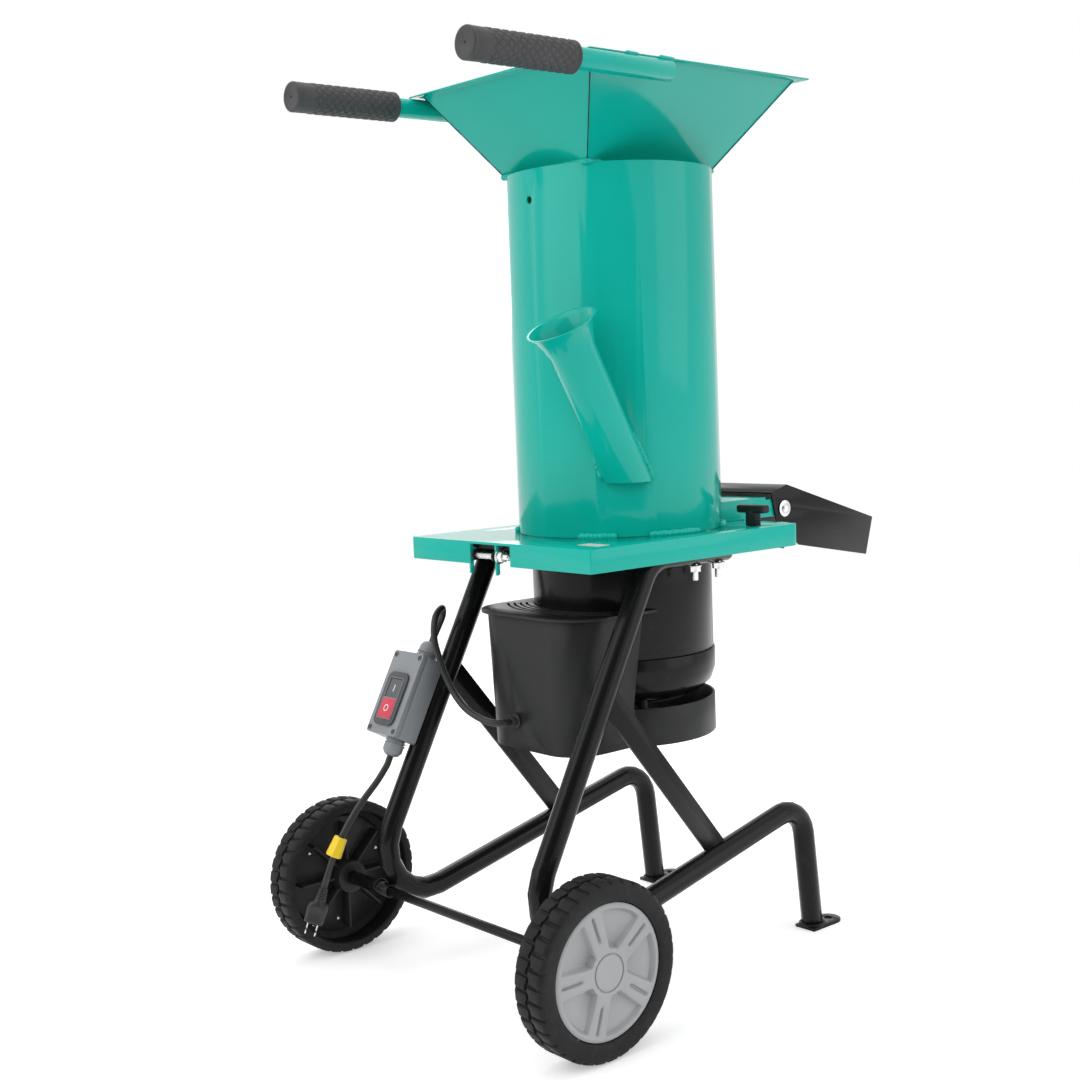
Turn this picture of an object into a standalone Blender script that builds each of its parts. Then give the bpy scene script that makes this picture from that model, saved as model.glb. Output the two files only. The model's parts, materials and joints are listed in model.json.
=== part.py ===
"""Electric wood chipper on a two-wheeled tube frame.

Branches go into the square hopper or the flared side tube, meet a spinning cutter disc in the foot of
the drum, and leave through the discharge housing under a tilting deflector. The hood (pan, drum, hopper)
lifts about a bolt at the handle side.

Axes: +Z up, +X to the operator's right, +Y from the handles towards the discharge. Machine coordinates
have the cutter axis at x = 0, y = 0 and the ground at z = 0. The machine empty carries them along Y so
that the world origin is the middle of the footprint.
"""

import math

import bmesh
import bpy
from mathutils import Matrix, Vector

# ---------------------------------------------------------------- driving dimensions, in metres
GAP = 0.0003  # seating gap between faces that touch, and running clearance

# Wheels and axle
WHEEL_RADIUS = 0.100
WHEEL_WIDTH = 0.0465
WHEEL_OUTER_X = 0.2713
TRIM_RADIUS = 0.0756
HUB_RADIUS = 0.021
WHEEL_DISH = 0.011
WHEEL_DISH_DEPTH = 0.026
AXLE_Y = -0.2925
AXLE_RADIUS = 0.006
SLEEVE_RADIUS = 0.0085
SPOKE_PAIRS = 5

# Side tubes of the frame; corners are where the straight runs would cross, in (y, z)
TUBE_RADIUS = 0.014
TUBE_WALL = 0.0016
SIDE_X = 0.149
RUN_END_Y = 0.037
LEG_TOP_Y = -0.0953
HEEL_CORNER = (-0.345, 0.058)
KNEE_CORNER = (0.1675, 0.1742)
FOOT_Y = 0.186
TOP_BEND = 0.040
KNEE_BEND = 0.038
BRACE_TOP_Z = 0.3725
BRACE_LOW_Y = 0.012
BRACE_WIDTH = 0.030
BRACE_THICKNESS = 0.004
FOOT_PLATE_WIDTH = 0.033
FOOT_PLATE_LENGTH = 0.065
FOOT_PLATE_THICKNESS = 0.004

# Bottom plate, which carries the motor and closes the chamber from below
DECK_Z = 0.5412
DECK_THICKNESS = 0.006
DECK_MARGIN = 0.015  # plate beyond the side tubes' centres
BOLT_RADIUS = 0.004
BOLT_YS = (-0.018, 0.023)
BOLT_STUD_Z = 0.488

# Hood pan
PAN_CLEARANCE = 0.004  # inside the rim, round the bottom plate
PAN_Y = (-0.209, 0.155)
PAN_CORNER = 0.014
PAN_WALL = 0.003
PAN_DEPTH = 0.028

# Hood hinge
HINGE_INSET = 0.0055
HINGE_Z = 0.527
HINGE_EAR_X = (-0.0535, 0.0005)
HINGE_EAR_RADIUS = 0.0075
HINGE_EAR_HANG = 0.012
HINGE_EAR_THICKNESS = 0.003
HINGE_LUG_THICKNESS = 0.004
HINGE_LUG_SPACE = 0.0025
HINGE_PIN_RADIUS = 0.004
HINGE_PIN_TAIL = 0.0185
HINGE_LUG_RADIUS = 0.0065
HINGE_NOTCH_END = 0.008

# Drum and hopper
DRUM_RADIUS = 0.131
DRUM_WALL = 0.0025
DRUM_TOP_Z = 0.995
PEEP_HOLE_RADIUS = 0.005
PEEP_HOLE_Z = 0.958
PEEP_HOLE_ANGLE = math.radians(-91.5)
HOPPER_RISE = 0.107
HOPPER_FOOT_X = 0.077
HOPPER_MOUTH_X = 0.157
HOPPER_MOUTH_Y = 0.173
HOPPER_MOUTH_OFFSET = 0.005
HOPPER_FLANGE = 0.014
HOPPER_SHEET = 0.002

# Branch tube, a side feed that leans towards the handles
BRANCH_RADIUS = 0.028
BRANCH_WALL = 0.003
BRANCH_MOUTH = (0.100, -0.177, 0.802)
BRANCH_LEAN = math.radians(27.7)
BRANCH_FLARE_RADIUS = 0.044
BRANCH_FLARE_LENGTH = 0.034
BRANCH_FOOT_Z = 0.612

# Handles
HANDLE_RADIUS = 0.0125
HANDLE_WALL = 0.0015
HANDLE_BACK_Y = -0.057
GRIP_START_Y = -0.207
GRIP_LENGTH = 0.151
GRIP_RADIUS = 0.0185
GRIP_CAP = 0.008

# Discharge housing and deflector; the deflector outline is in (y, z) from its pivot
DISCHARGE_HALF_X = 0.075
DISCHARGE_WALL = 0.003
DISCHARGE_HEIGHT = 0.0267
DISCHARGE_ROOF_Y = 0.198
DISCHARGE_CHEEK_Y = 0.248
DISCHARGE_WINDOW_HALF_X = 0.055
DEFLECTOR_PIVOT_Y = 0.232
DEFLECTOR_PIVOT_RISE = 0.0092
DEFLECTOR_SHEET = 0.0025
DEFLECTOR_RIDGE = (0.007, 0.032)
DEFLECTOR_BACK = (-0.025, 0.023)
DEFLECTOR_TIP = (0.191, -0.027)
DEFLECTOR_LOW_TIP = (0.175, -0.0795)
DEFLECTOR_LOW_FRONT = (0.030, -0.0525)
DEFLECTOR_LOW_BACK = (-0.015, -0.0205)
PIVOT_BOLT_RADIUS = 0.004
PIVOT_HEAD_RADIUS = 0.0112

# Clamp knob
KNOB_Y = 0.100
KNOB_STEM_RADIUS = 0.0095
KNOB_STEM_HEIGHT = 0.016
KNOB_WING = (0.046, 0.015, 0.0105)
KNOB_SCREW_RADIUS = 0.0038
KNOB_SCREW_REACH = 0.009

# Cutter
DISC_THICKNESS = 0.006
DISC_RISE = 0.0078
BLADE_WIDTH = 0.028
BLADE_THICKNESS = 0.005
BLADE_START = 0.024  # from the axis, clear of the nut
SHAFT_RADIUS = 0.0125
STUD_RADIUS = 0.008

# Motor
MOTOR_RADIUS = 0.116
MOTOR_WALL = 0.004
MOTOR_SEAM_Z = 0.389
MOTOR_FLOOR_Z = 0.336
END_COVER_WALL = 0.003
END_COVER_LIP = 0.0015
STATOR_Z = (0.420, 0.505)
STATOR_BORE = 0.060
AIR_GAP = 0.001
FAN_Z = (0.306, 0.329)
FAN_BLADES = 6

# Plastic motor cover: a tall box towards the handles and a round skirt below the motor
COVER_FLOOR_Z = 0.281
COVER_WALL = 0.003
SKIRT_TOP_Z = 0.328
SKIRT_HOLE_RADIUS = 0.055
BOX_TOP_Z = 0.448
BOX_FRONT_Y = -0.172
BOX_BACK_Y = -0.060
BOX_CORNER = 0.050
BOX_TAPER = 0.880
LID_THICKNESS = 0.004
LID_OVERHANG = 0.008
LOUVRES = 4
LOUVRE_PITCH = 0.008
LOUVRE_WIDTH = 0.003
LOUVRE_HALF_ANGLE = math.radians(40)
POST_RADIUS = 0.006
CAPACITOR_RADIUS = 0.020
CAPACITOR_LENGTH = 0.090
CAPACITOR_XY = (0.045, -0.1355)
GROMMET_X = -0.019
GROMMET_Z = 0.3165
GROMMET_RADIUS = 0.0062

# Switch box, in its own axes: x along the machine's X, y up the leg, z out from the leg
SWITCH_ALONG = 0.2265
SWITCH_OFFSET_X = -0.024
SWITCH_WIDTH = 0.063
SWITCH_HEIGHT = 0.112
SWITCH_BOX_DEPTH = 0.028
SWITCH_COVER_DEPTH = 0.0077
SWITCH_WALL = 0.003
SWITCH_CORNER = 0.004
BEZEL_SIZE = (0.042, 0.072)
BEZEL_CORNER = 0.010
BEZEL_THICKNESS = 0.003
BEZEL_DROP = 0.009
BUTTON_SIZE = (0.0276, 0.0268)
BUTTON_SPACE = 0.0004
BUTTON_DEPTH = 0.012
GLAND_OFFSET = (-0.016, 0.028)
GLAND_RADIUS = 0.013
GLAND_LENGTH = 0.022

# Cables
CABLE_RADIUS = 0.0043
LEAD_ROUTE = (
    (-0.164, -0.182, 0.419),
    (-0.158, -0.176, 0.438),
    (-0.148, -0.184, 0.450),
    (-0.139, -0.202, 0.440),
    (-0.131, -0.211, 0.415),
    (-0.122, -0.210, 0.387),
    (-0.110, -0.2085, 0.362),
    (-0.094, -0.2070, 0.342),
    (-0.073, -0.2075, 0.329),
    (-0.050, -0.205, 0.3205),
    (-0.032, -0.202, 0.3175),
    (-0.0215, -0.195, 0.3165),
)
CORD_ROUTE = (
    (-0.1655, -0.271, 0.254),
    (-0.168, -0.285, 0.236),
    (-0.171, -0.304, 0.2165),
    (-0.174, -0.3205, 0.1965),
    (-0.178, -0.335, 0.174),
    (-0.182, -0.3475, 0.148),
    (-0.185, -0.355, 0.128),
)
CORD_END = (-0.1875, -0.361, 0.110)
TAG_CENTRE = (-0.180, -0.34125, 0.161)
TAG_LENGTH = 0.026
TAG_RADIUS = 0.0085
PLUG_LENGTH = 0.046
PLUG_FLATTEN = 0.72
PLUG_TURN = math.radians(-48)  # the plug's broad side, turned about the cord from the machine's X
PIN_SIZE = (0.0063, 0.0015, 0.017)
PIN_SPACING = 0.0127

# ---------------------------------------------------------------- derived sizes
PLATE_UNDER_Z = DECK_Z - DECK_THICKNESS
DECK_HALF_X = SIDE_X + DECK_MARGIN
DECK_Y = (PAN_Y[0] + PAN_WALL + PAN_CLEARANCE + 0.002, PAN_Y[1] - PAN_WALL - PAN_CLEARANCE)
PAN_HALF_X = DECK_HALF_X + PAN_WALL + PAN_CLEARANCE
PAN_BORE_RADIUS = DRUM_RADIUS - DRUM_WALL - 0.0025
HINGE_Y = PAN_Y[0] + HINGE_INSET
KNOB_X = DECK_HALF_X - 0.024
RUN_Z = PLATE_UNDER_Z - GAP - TUBE_RADIUS
PAN_UNDER_Z = DECK_Z + GAP
PAN_TOP_Z = PAN_UNDER_Z + PAN_WALL
ON_PAN_Z = PAN_TOP_Z + GAP
WHEEL_INNER_X = WHEEL_OUTER_X - WHEEL_WIDTH
LEG_TOP = (LEG_TOP_Y, RUN_Z)
HOPPER_FOOT_Y = math.sqrt(DRUM_RADIUS**2 - HOPPER_FOOT_X**2)
HOPPER_TOP_Z = DRUM_TOP_Z + HOPPER_RISE + HOPPER_SHEET
HANDLE_X = HOPPER_MOUTH_X + HANDLE_RADIUS + 0.0005
HANDLE_Z = HOPPER_TOP_Z - HOPPER_SHEET - GAP - HANDLE_RADIUS
GRIP_END_Y = GRIP_START_Y - GRIP_LENGTH
DISCHARGE_TOP_Z = ON_PAN_Z + DISCHARGE_HEIGHT
DEFLECTOR_PIVOT_Z = ON_PAN_Z + DEFLECTOR_PIVOT_RISE
DISC_Z = DECK_Z + DISC_RISE
DISC_RADIUS = PAN_BORE_RADIUS - 0.006
BLADE_LENGTH = DISC_RADIUS - BLADE_START - 0.016
BLADE_OFFSET = BLADE_START + BLADE_LENGTH / 2
MOTOR_TOP_Z = PLATE_UNDER_Z - GAP
SHAFT_BORE = SHAFT_RADIUS + GAP
FAN_RADIUS = MOTOR_RADIUS - 0.038
SKIRT_RADIUS = MOTOR_RADIUS
BOX_HALF_X = MOTOR_RADIUS - 0.016
POST_CIRCLE = MOTOR_RADIUS - 0.028
LOUVRE_RADII = [MOTOR_RADIUS + LOUVRE_PITCH * (i + 1) for i in range(LOUVRES)]
BRANCH_AXIS = Vector((0, -math.sin(BRANCH_LEAN), math.cos(BRANCH_LEAN)))
LEG_AXIS = Vector((0, LEG_TOP[0] - HEEL_CORNER[0], LEG_TOP[1] - HEEL_CORNER[1])).normalized()
SWITCH_ORIGIN = Vector((-SIDE_X, *LEG_TOP)) - LEG_AXIS * SWITCH_ALONG
SWITCH_TURN = Matrix.Rotation(math.atan2(LEG_AXIS.z, LEG_AXIS.y), 4, "X")
SWITCH_FRONT = TUBE_RADIUS + GAP + SWITCH_BOX_DEPTH + GAP + SWITCH_COVER_DEPTH
DEFLECTOR_END_Y = DEFLECTOR_PIVOT_Y + DEFLECTOR_TIP[0]
REAR_Y = min(GRIP_END_Y, AXLE_Y - WHEEL_RADIUS)
MACHINE_SHIFT = Vector((0, -(REAR_Y + DEFLECTOR_END_Y) / 2, 0))

# Directions in which a flat outline is extruded: its own x and y lie along the other two axes
FACING = {
    "X": Matrix(((0, 0, 1), (1, 0, 0), (0, 1, 0))),
    "Y": Matrix(((1, 0, 0), (0, 0, -1), (0, 1, 0))),
    "Z": Matrix.Identity(3),
}


# ---------------------------------------------------------------- scene, materials, holders
for old in list(bpy.data.objects):
    bpy.data.objects.remove(old, do_unlink=True)

PARTS = bpy.data.collections.new("wood_chipper")
CUTTERS = bpy.data.collections.new("cutters")
bpy.context.scene.collection.children.link(PARTS)
bpy.context.scene.collection.children.link(CUTTERS)


def material(name, colour, roughness, metallic=0.0):
    made = bpy.data.materials.new(name)
    made.use_nodes = True
    shader = made.node_tree.nodes["Principled BSDF"]
    shader.inputs["Base Color"].default_value = (*colour, 1)
    shader.inputs["Roughness"].default_value = roughness
    shader.inputs["Metallic"].default_value = metallic
    made.diffuse_color = (*colour, 1)
    return made


GREEN = material("green_enamel", (0.010, 0.400, 0.290), 0.28)
BLACK_PAINT = material("black_enamel", (0.012, 0.013, 0.014), 0.30)
BLACK_PLASTIC = material("black_plastic", (0.030, 0.031, 0.034), 0.55)
GREY_TRIM = material("grey_trim", (0.42, 0.43, 0.45), 0.45)
BOX_GREY = material("box_grey", (0.48, 0.50, 0.52), 0.45)
DARK_GREY = material("dark_grey_plastic", (0.060, 0.063, 0.068), 0.50)
BUTTON_GREY = material("button_grey", (0.090, 0.094, 0.102), 0.45)
BUTTON_RED = material("button_red", (0.620, 0.030, 0.060), 0.40)
TYRE = material("tyre_rubber", (0.035, 0.036, 0.040), 0.80)
GRIP = material("grip_rubber", (0.032, 0.032, 0.035), 0.75)
CABLE = material("cable_rubber", (0.015, 0.015, 0.016), 0.50)
YELLOW = material("yellow_tag", (0.800, 0.600, 0.010), 0.50)
ZINC = material("zinc_plate", (0.62, 0.64, 0.66), 0.28, 1.0)
STEEL = material("tool_steel", (0.45, 0.46, 0.48), 0.32, 1.0)
COPPER = material("winding_stack", (0.40, 0.25, 0.16), 0.50, 0.6)
ALUMINIUM = material("capacitor_can", (0.60, 0.61, 0.63), 0.35, 1.0)


def holder(name, place, turn=None, carried_by=None):
    """An empty that carries pieces: at a joint's axis, or at a sub-assembly's own axes."""
    empty = bpy.data.objects.new(name, None)
    PARTS.objects.link(empty)
    empty.matrix_basis = Matrix.Translation(place) @ (turn or Matrix.Identity(4))
    if carried_by:
        empty.parent = carried_by
        if carried_by is not MACHINE:
            empty.matrix_parent_inverse = carried_by.matrix_basis.inverted()
    return empty


MACHINE = holder("machine", MACHINE_SHIFT)
LEFT_WHEEL = holder("left_wheel_axis", (0, AXLE_Y, WHEEL_RADIUS), carried_by=MACHINE)
RIGHT_WHEEL = holder("right_wheel_axis", (0, AXLE_Y, WHEEL_RADIUS), carried_by=MACHINE)
ROTOR = holder("rotor_axis", (0, 0, MOTOR_FLOOR_Z), carried_by=MACHINE)
HOOD = holder("hood_axis", (0, HINGE_Y, HINGE_Z), carried_by=MACHINE)
SWITCH = holder("switch_axes", SWITCH_ORIGIN, SWITCH_TURN, carried_by=MACHINE)
DEFLECTOR = holder("deflector_axis", (0, DEFLECTOR_PIVOT_Y, DEFLECTOR_PIVOT_Z), carried_by=HOOD)
KNOB = holder("knob_axis", (KNOB_X, KNOB_Y, PAN_TOP_Z), carried_by=HOOD)


def finish(obj, look, carried_by, own_axes=False):
    """Gives the piece its material and its carrier. Places are machine coordinates unless own_axes is set."""
    if look:
        obj.data.materials.clear()
        obj.data.materials.append(look)
    if carried_by:
        obj.parent = carried_by
        if carried_by is not MACHINE and not own_axes:
            obj.matrix_parent_inverse = carried_by.matrix_basis.inverted()
    return obj


def add(name, mesh, place=(0, 0, 0), turn=None):
    obj = bpy.data.objects.new(name, mesh)
    PARTS.objects.link(obj)
    rotation = (turn or Matrix.Identity(3)).to_4x4()
    obj.matrix_basis = Matrix.Translation(place) @ rotation
    return obj


def as_cutter(obj):
    """Turns a shape into a helper: a cutter, or a piece that is joined onto another."""
    PARTS.objects.unlink(obj)
    CUTTERS.objects.link(obj)
    obj.parent = MACHINE if obj.parent is None else obj.parent
    obj.hide_render = True
    obj.display_type = "WIRE"
    return obj


def combine(obj, helper, operation, crossing=False):
    """Set crossing when the helper's own shapes run through each other."""
    made = obj.modifiers.new(operation.lower(), "BOOLEAN")
    made.operation = operation
    made.solver = "EXACT"
    made.use_self = crossing
    made.object = helper if helper.hide_render else as_cutter(helper)


def cut(obj, *helpers):
    for helper in helpers:
        combine(obj, helper, "DIFFERENCE")


def join(obj, *helpers):
    for helper in helpers:
        combine(obj, helper, "UNION")


# ---------------------------------------------------------------- shapes
def box(name, low, high, bevel=0.0, segments=2):
    low, high = Vector(low), Vector(high)
    mesh = bpy.data.meshes.new(name)
    work = bmesh.new()
    bmesh.ops.create_cube(work, size=1)
    bmesh.ops.scale(work, vec=high - low, verts=work.verts)
    work.to_mesh(mesh)
    work.free()
    obj = add(name, mesh, (low + high) / 2)
    if bevel:
        rounded_edges(obj, bevel, segments)
    return obj


def rounded_edges(obj, width, segments=2, angle=math.radians(40)):
    made = obj.modifiers.new("bevel", "BEVEL")
    made.width = width
    made.segments = segments
    made.limit_method = "ANGLE"
    made.angle_limit = angle


def along(axis):
    """The turn that takes local Z onto the given direction."""
    return Vector((0, 0, 1)).rotation_difference(Vector(axis).normalized()).to_matrix()


def cylinder(name, radius, start, end, segments=32):
    start, end = Vector(start), Vector(end)
    mesh = bpy.data.meshes.new(name)
    work = bmesh.new()
    bmesh.ops.create_cone(
        work, cap_ends=True, segments=segments, radius1=radius, radius2=radius, depth=(end - start).length
    )
    work.to_mesh(mesh)
    work.free()
    return add(name, mesh, (start + end) / 2, along(end - start))


def area(points):
    rolled = points[1:] + points[:1]
    return sum(a[0] * b[1] - b[0] * a[1] for a, b in zip(points, rolled)) / 2


def turned(name, profile, steps, place=(0, 0, 0), axis=(0, 0, 1)):
    """A turned shape from (radius, height) points. A profile that ends on the axis at both ends is solid."""
    points = [Vector((radius, 0, height)) for radius, height in profile]
    if area([(p.x, p.z) for p in points]) > 0:
        points.reverse()
    mesh = bpy.data.meshes.new(name)
    on_axis = [i for i, p in enumerate(points) if p.x == 0]
    if on_axis:
        first = max(on_axis) if max(on_axis) - min(on_axis) == 1 else min(on_axis)
        points = points[first:] + points[:first]
    edges = [(i, i + 1) for i in range(len(points) - 1)]
    if not on_axis:
        edges.append((len(points) - 1, 0))
    mesh.from_pydata(points, edges, [])
    obj = add(name, mesh, place, along(axis))
    made = obj.modifiers.new("turn", "SCREW")
    made.angle = math.tau
    made.steps = made.render_steps = steps
    made.use_merge_vertices = True
    made.merge_threshold = 0.00001
    made.use_smooth_shade = True
    return obj


def arc(centre, radius, start, end, steps):
    turn = (end - start) / steps
    return [
        (centre[0] + radius * math.cos(start + turn * i), centre[1] + radius * math.sin(start + turn * i))
        for i in range(steps + 1)
    ]


def rounded_rectangle(low, high, radii, steps=5):
    """Outline from the low corner round to the left; radii are for the corners in that order."""
    (x0, y0), (x1, y1) = low, high
    corners = (
        (x0, y0, 1, 1, math.pi),
        (x1, y0, -1, 1, 1.5 * math.pi),
        (x1, y1, -1, -1, 0),
        (x0, y1, 1, -1, 0.5 * math.pi),
    )
    points = []
    for (x, y, right, up, start), radius in zip(corners, radii):
        if radius:
            points += arc((x + right * radius, y + up * radius), radius, start, start + math.pi / 2, steps)
        else:
            points.append((x, y))
    return points


def curve_object(name, dimensions, lines, closed):
    curve = bpy.data.curves.new(name, "CURVE")
    curve.dimensions = dimensions
    for points in lines:
        spline = curve.splines.new("POLY")
        spline.points.add(len(points) - 1)
        for point, place in zip(spline.points, points):
            point.co = (*place, *([0] * (3 - len(place))), 1)
        spline.use_cyclic_u = closed
    obj = bpy.data.objects.new(name, curve)
    PARTS.objects.link(obj)
    return obj


def to_mesh(obj):
    """Replaces a curve by its mesh, with the caps welded on."""
    bpy.context.view_layer.update()
    ready = obj.evaluated_get(bpy.context.evaluated_depsgraph_get())
    mesh = bpy.data.meshes.new_from_object(ready)
    work = bmesh.new()
    work.from_mesh(mesh)
    bmesh.ops.remove_doubles(work, verts=work.verts, dist=0.000001)
    bmesh.ops.recalc_face_normals(work, faces=work.faces)
    work.to_mesh(mesh)
    work.free()
    name = obj.name
    basis = obj.matrix_basis.copy()
    bpy.data.objects.remove(obj, do_unlink=True)
    mesh.name = name
    made = bpy.data.objects.new(name, mesh)
    PARTS.objects.link(made)
    made.matrix_basis = basis
    return made


def prism(name, outline, low, high, facing="Z", holes=()):
    """A flat outline, with any holes, extruded between two heights along one axis."""
    obj = curve_object(name, "2D", (outline, *holes), True)
    obj.data.fill_mode = "BOTH"
    obj.data.extrude = (high - low) / 2
    middle = Vector((0, 0, (low + high) / 2))
    turn = FACING[facing]
    sign = -1 if facing == "Y" else 1
    obj.matrix_basis = Matrix.Translation(turn @ (middle * sign)) @ turn.to_4x4()
    return to_mesh(obj)


def bent_path(points, radii, steps=6):
    """A path of straight runs with each inner corner replaced by an arc."""
    path = [Vector(points[0])]
    for before, corner, after, radius in zip(points, points[1:], points[2:], radii):
        corner = Vector(corner)
        back = (Vector(before) - corner).normalized()
        ahead = (Vector(after) - corner).normalized()
        half = back.angle(ahead) / 2
        middle = (back + ahead).normalized()
        centre = corner + middle * radius / math.sin(half)
        start = corner + back * radius / math.tan(half) - centre
        turn = math.pi - 2 * half
        axis = start.cross(corner + ahead * radius / math.tan(half) - centre).normalized()
        for i in range(steps + 1):
            path.append(centre + Matrix.Rotation(turn * i / steps, 3, axis) @ start)
    path.append(Vector(points[-1]))
    return path


def smooth_path(points, spacing):
    """A smooth curve through the points, sampled at about the given spacing."""
    points = [Vector(p) for p in points]
    ends = [2 * points[0] - points[1]] + points + [2 * points[-1] - points[-2]]
    path = []
    for a, b, c, d in zip(ends, ends[1:], ends[2:], ends[3:]):
        count = max(1, round((c - b).length / spacing))
        for i in range(count):
            t = i / count
            path.append(
                0.5 * (2 * b + (c - a) * t + (2 * a - 5 * b + 4 * c - d) * t**2 + (3 * b - a - 3 * c + d) * t**3)
            )
    path.append(points[-1])
    return path


def rod(name, path, radius, resolution=2, wall=0.0):
    """A round bar along a path, or a hollow tube when it has a wall."""
    obj = curve_object(name, "3D", (path,), False)
    obj.data.bevel_depth = radius
    obj.data.bevel_resolution = resolution
    obj.data.use_fill_caps = not wall
    obj.data.fill_mode = "FULL"
    if wall:
        made = obj.modifiers.new("wall", "SOLIDIFY")
        made.thickness = wall
        made.offset = -1
        made.use_even_offset = True
    return obj


# ---------------------------------------------------------------- frame
def side_path(x):
    """Centre line of a side tube, from under the bottom plate round the heel and the knee to the foot."""
    leg = Vector((*LEG_TOP,)) - Vector(HEEL_CORNER)
    low = Vector(KNEE_CORNER) - Vector(HEEL_CORNER)
    half = leg.angle(low) / 2
    to_axle = (Vector((AXLE_Y, WHEEL_RADIUS)) - Vector(HEEL_CORNER)).length
    heel_bend = (to_axle + TUBE_RADIUS + SLEEVE_RADIUS + GAP) / (1 / math.sin(half) - 1)
    corners = [(RUN_END_Y, RUN_Z), LEG_TOP, HEEL_CORNER, KNEE_CORNER, (FOOT_Y, 0)]
    return bent_path([(x, *corner) for corner in corners], (TOP_BEND, heel_bend, KNEE_BEND))


def side_tube(name, x):
    obj = to_mesh(rod(name, side_path(x), TUBE_RADIUS, 6, TUBE_WALL))
    reach = 2 * TUBE_RADIUS
    cut(obj, box(name + "_ground", (x - reach, 0, -reach), (x + reach, 2 * FOOT_Y, FOOT_PLATE_THICKNESS + GAP)))
    for y in BOLT_YS:
        cut(obj, cylinder(name + "_hole", BOLT_RADIUS + GAP, (x, y, RUN_Z - reach), (x, y, RUN_Z + reach), 18))
    finish(obj, BLACK_PAINT, MACHINE)


def brace(name, x):
    """A flat bar from the leg down to the low run, its ends cut along the tubes."""
    leg_top, heel, knee = Vector(LEG_TOP), Vector(HEEL_CORNER), Vector(KNEE_CORNER)
    leg, low = (leg_top - heel).normalized(), (knee - heel).normalized()
    top = heel + leg * (BRACE_TOP_Z - heel.y) / leg.y
    foot = heel + low * (BRACE_LOW_Y - heel.x) / low.x
    run = (foot - top).normalized()
    side = Vector((-run.y, run.x)) * BRACE_WIDTH / 2
    stand = TUBE_RADIUS + GAP

    def end(origin, tube, offset):
        """Where the bar's edge, moved sideways by offset, meets the line just clear of the tube."""
        normal = Vector((-tube.y, tube.x))
        if normal.dot((foot + top) / 2 - origin) < 0:
            normal = -normal
        start = top + offset
        return start + run * (stand - normal.dot(start - origin)) / normal.dot(run)

    outline = [end(heel, leg, side), end(heel, leg, -side), end(heel, low, -side), end(heel, low, side)]
    obj = prism(name, [tuple(p) for p in outline], x - BRACE_THICKNESS / 2, x + BRACE_THICKNESS / 2, "X")
    finish(obj, BLACK_PAINT, MACHINE)


def foot_plate(name, x):
    """A flat foot with a rounded end and a fixing hole, under the end of a side tube."""
    half = FOOT_PLATE_WIDTH / 2
    back = FOOT_Y - TUBE_RADIUS - 0.002
    tip = back + FOOT_PLATE_LENGTH - half
    outline = [(x - half, back), (x + half, back), *arc((x, tip), half, 0, math.pi, 10)]
    hole = arc((x, tip), 0.0055, 0, math.tau, 16)[:-1]
    finish(prism(name, outline, 0, FOOT_PLATE_THICKNESS, holes=(hole,)), BLACK_PAINT, MACHINE)


def bottom_plate():
    low, high = (-DECK_HALF_X, DECK_Y[0]), (DECK_HALF_X, DECK_Y[1])
    outline = rounded_rectangle(low, high, (0.008, 0.008, 0.022, 0.022))
    bore = arc((0, 0), SHAFT_RADIUS + 0.010, 0, math.tau, 24)[:-1]
    knob_hole = arc((KNOB_X, KNOB_Y), KNOB_SCREW_RADIUS + 0.0015, 0, math.tau, 16)[:-1]
    obj = prism("bottom_plate", outline, PLATE_UNDER_Z, DECK_Z, holes=(bore, knob_hole))
    for x in (-SIDE_X, SIDE_X):
        for y in BOLT_YS:
            sink = bolt_profile(GAP, PLATE_UNDER_Z - 0.005)
            cut(obj, turned("bolt_seat", sink, 12, (x, y, 0)))
    left_ear, right_ear = HINGE_EAR_X
    inner = (left_ear + HINGE_EAR_THICKNESS + HINGE_LUG_SPACE, right_ear - HINGE_EAR_THICKNESS - HINGE_LUG_SPACE)
    root = DECK_Y[0] + 0.022
    lug = [
        (root, PLATE_UNDER_Z + 0.003),
        (DECK_Y[0] + 0.001, PLATE_UNDER_Z + 0.003),
        *arc((HINGE_Y, HINGE_Z), HINGE_LUG_RADIUS, math.pi / 2, 1.5 * math.pi, 8),
        (root, PLATE_UNDER_Z - 0.005),
    ]
    for x, way in zip(inner, (1, -1)):
        ends = sorted((x, x + way * HINGE_LUG_THICKNESS))
        join(obj, prism("hinge_lug", lug, *ends, "X"))
    cut(obj, hinge_hole("lug_hole"))
    finish(obj, BLACK_PAINT, MACHINE)


def hinge_hole(name):
    left, right = HINGE_EAR_X[0] + 0.0005, HINGE_EAR_X[1] + 0.001
    return cylinder(name, HINGE_PIN_RADIUS + GAP, (left, HINGE_Y, HINGE_Z), (right, HINGE_Y, HINGE_Z), 16)


def bolt_profile(grow, end):
    """A countersunk bolt, or its seat when grown by the clearance, which runs out above the plate."""
    top = DECK_Z - GAP
    rise = 2 * grow
    shank = BOLT_RADIUS + grow
    head = (2 * BOLT_RADIUS + grow + rise, top + rise)
    return [(0, top + rise), head, (shank, top - BOLT_RADIUS), (shank, end), (0, end)]


def plate_bolt(name, x, y):
    """A countersunk bolt down through the plate and the tube, with its washer and nut underneath."""
    under = RUN_Z - TUBE_RADIUS - GAP
    washer = under - 0.0015
    profile = bolt_profile(0, BOLT_STUD_Z)
    profile[3:3] = [(BOLT_RADIUS, under), (0.0088, under), (0.0088, washer), (BOLT_RADIUS, washer)]
    obj = turned(name, profile, 12, (x, y, 0))
    join(obj, cylinder(name + "_nut", 0.0075, (x, y, washer - 0.0065), (x, y, washer + 0.0005), 6))
    finish(obj, ZINC, MACHINE)


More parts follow.
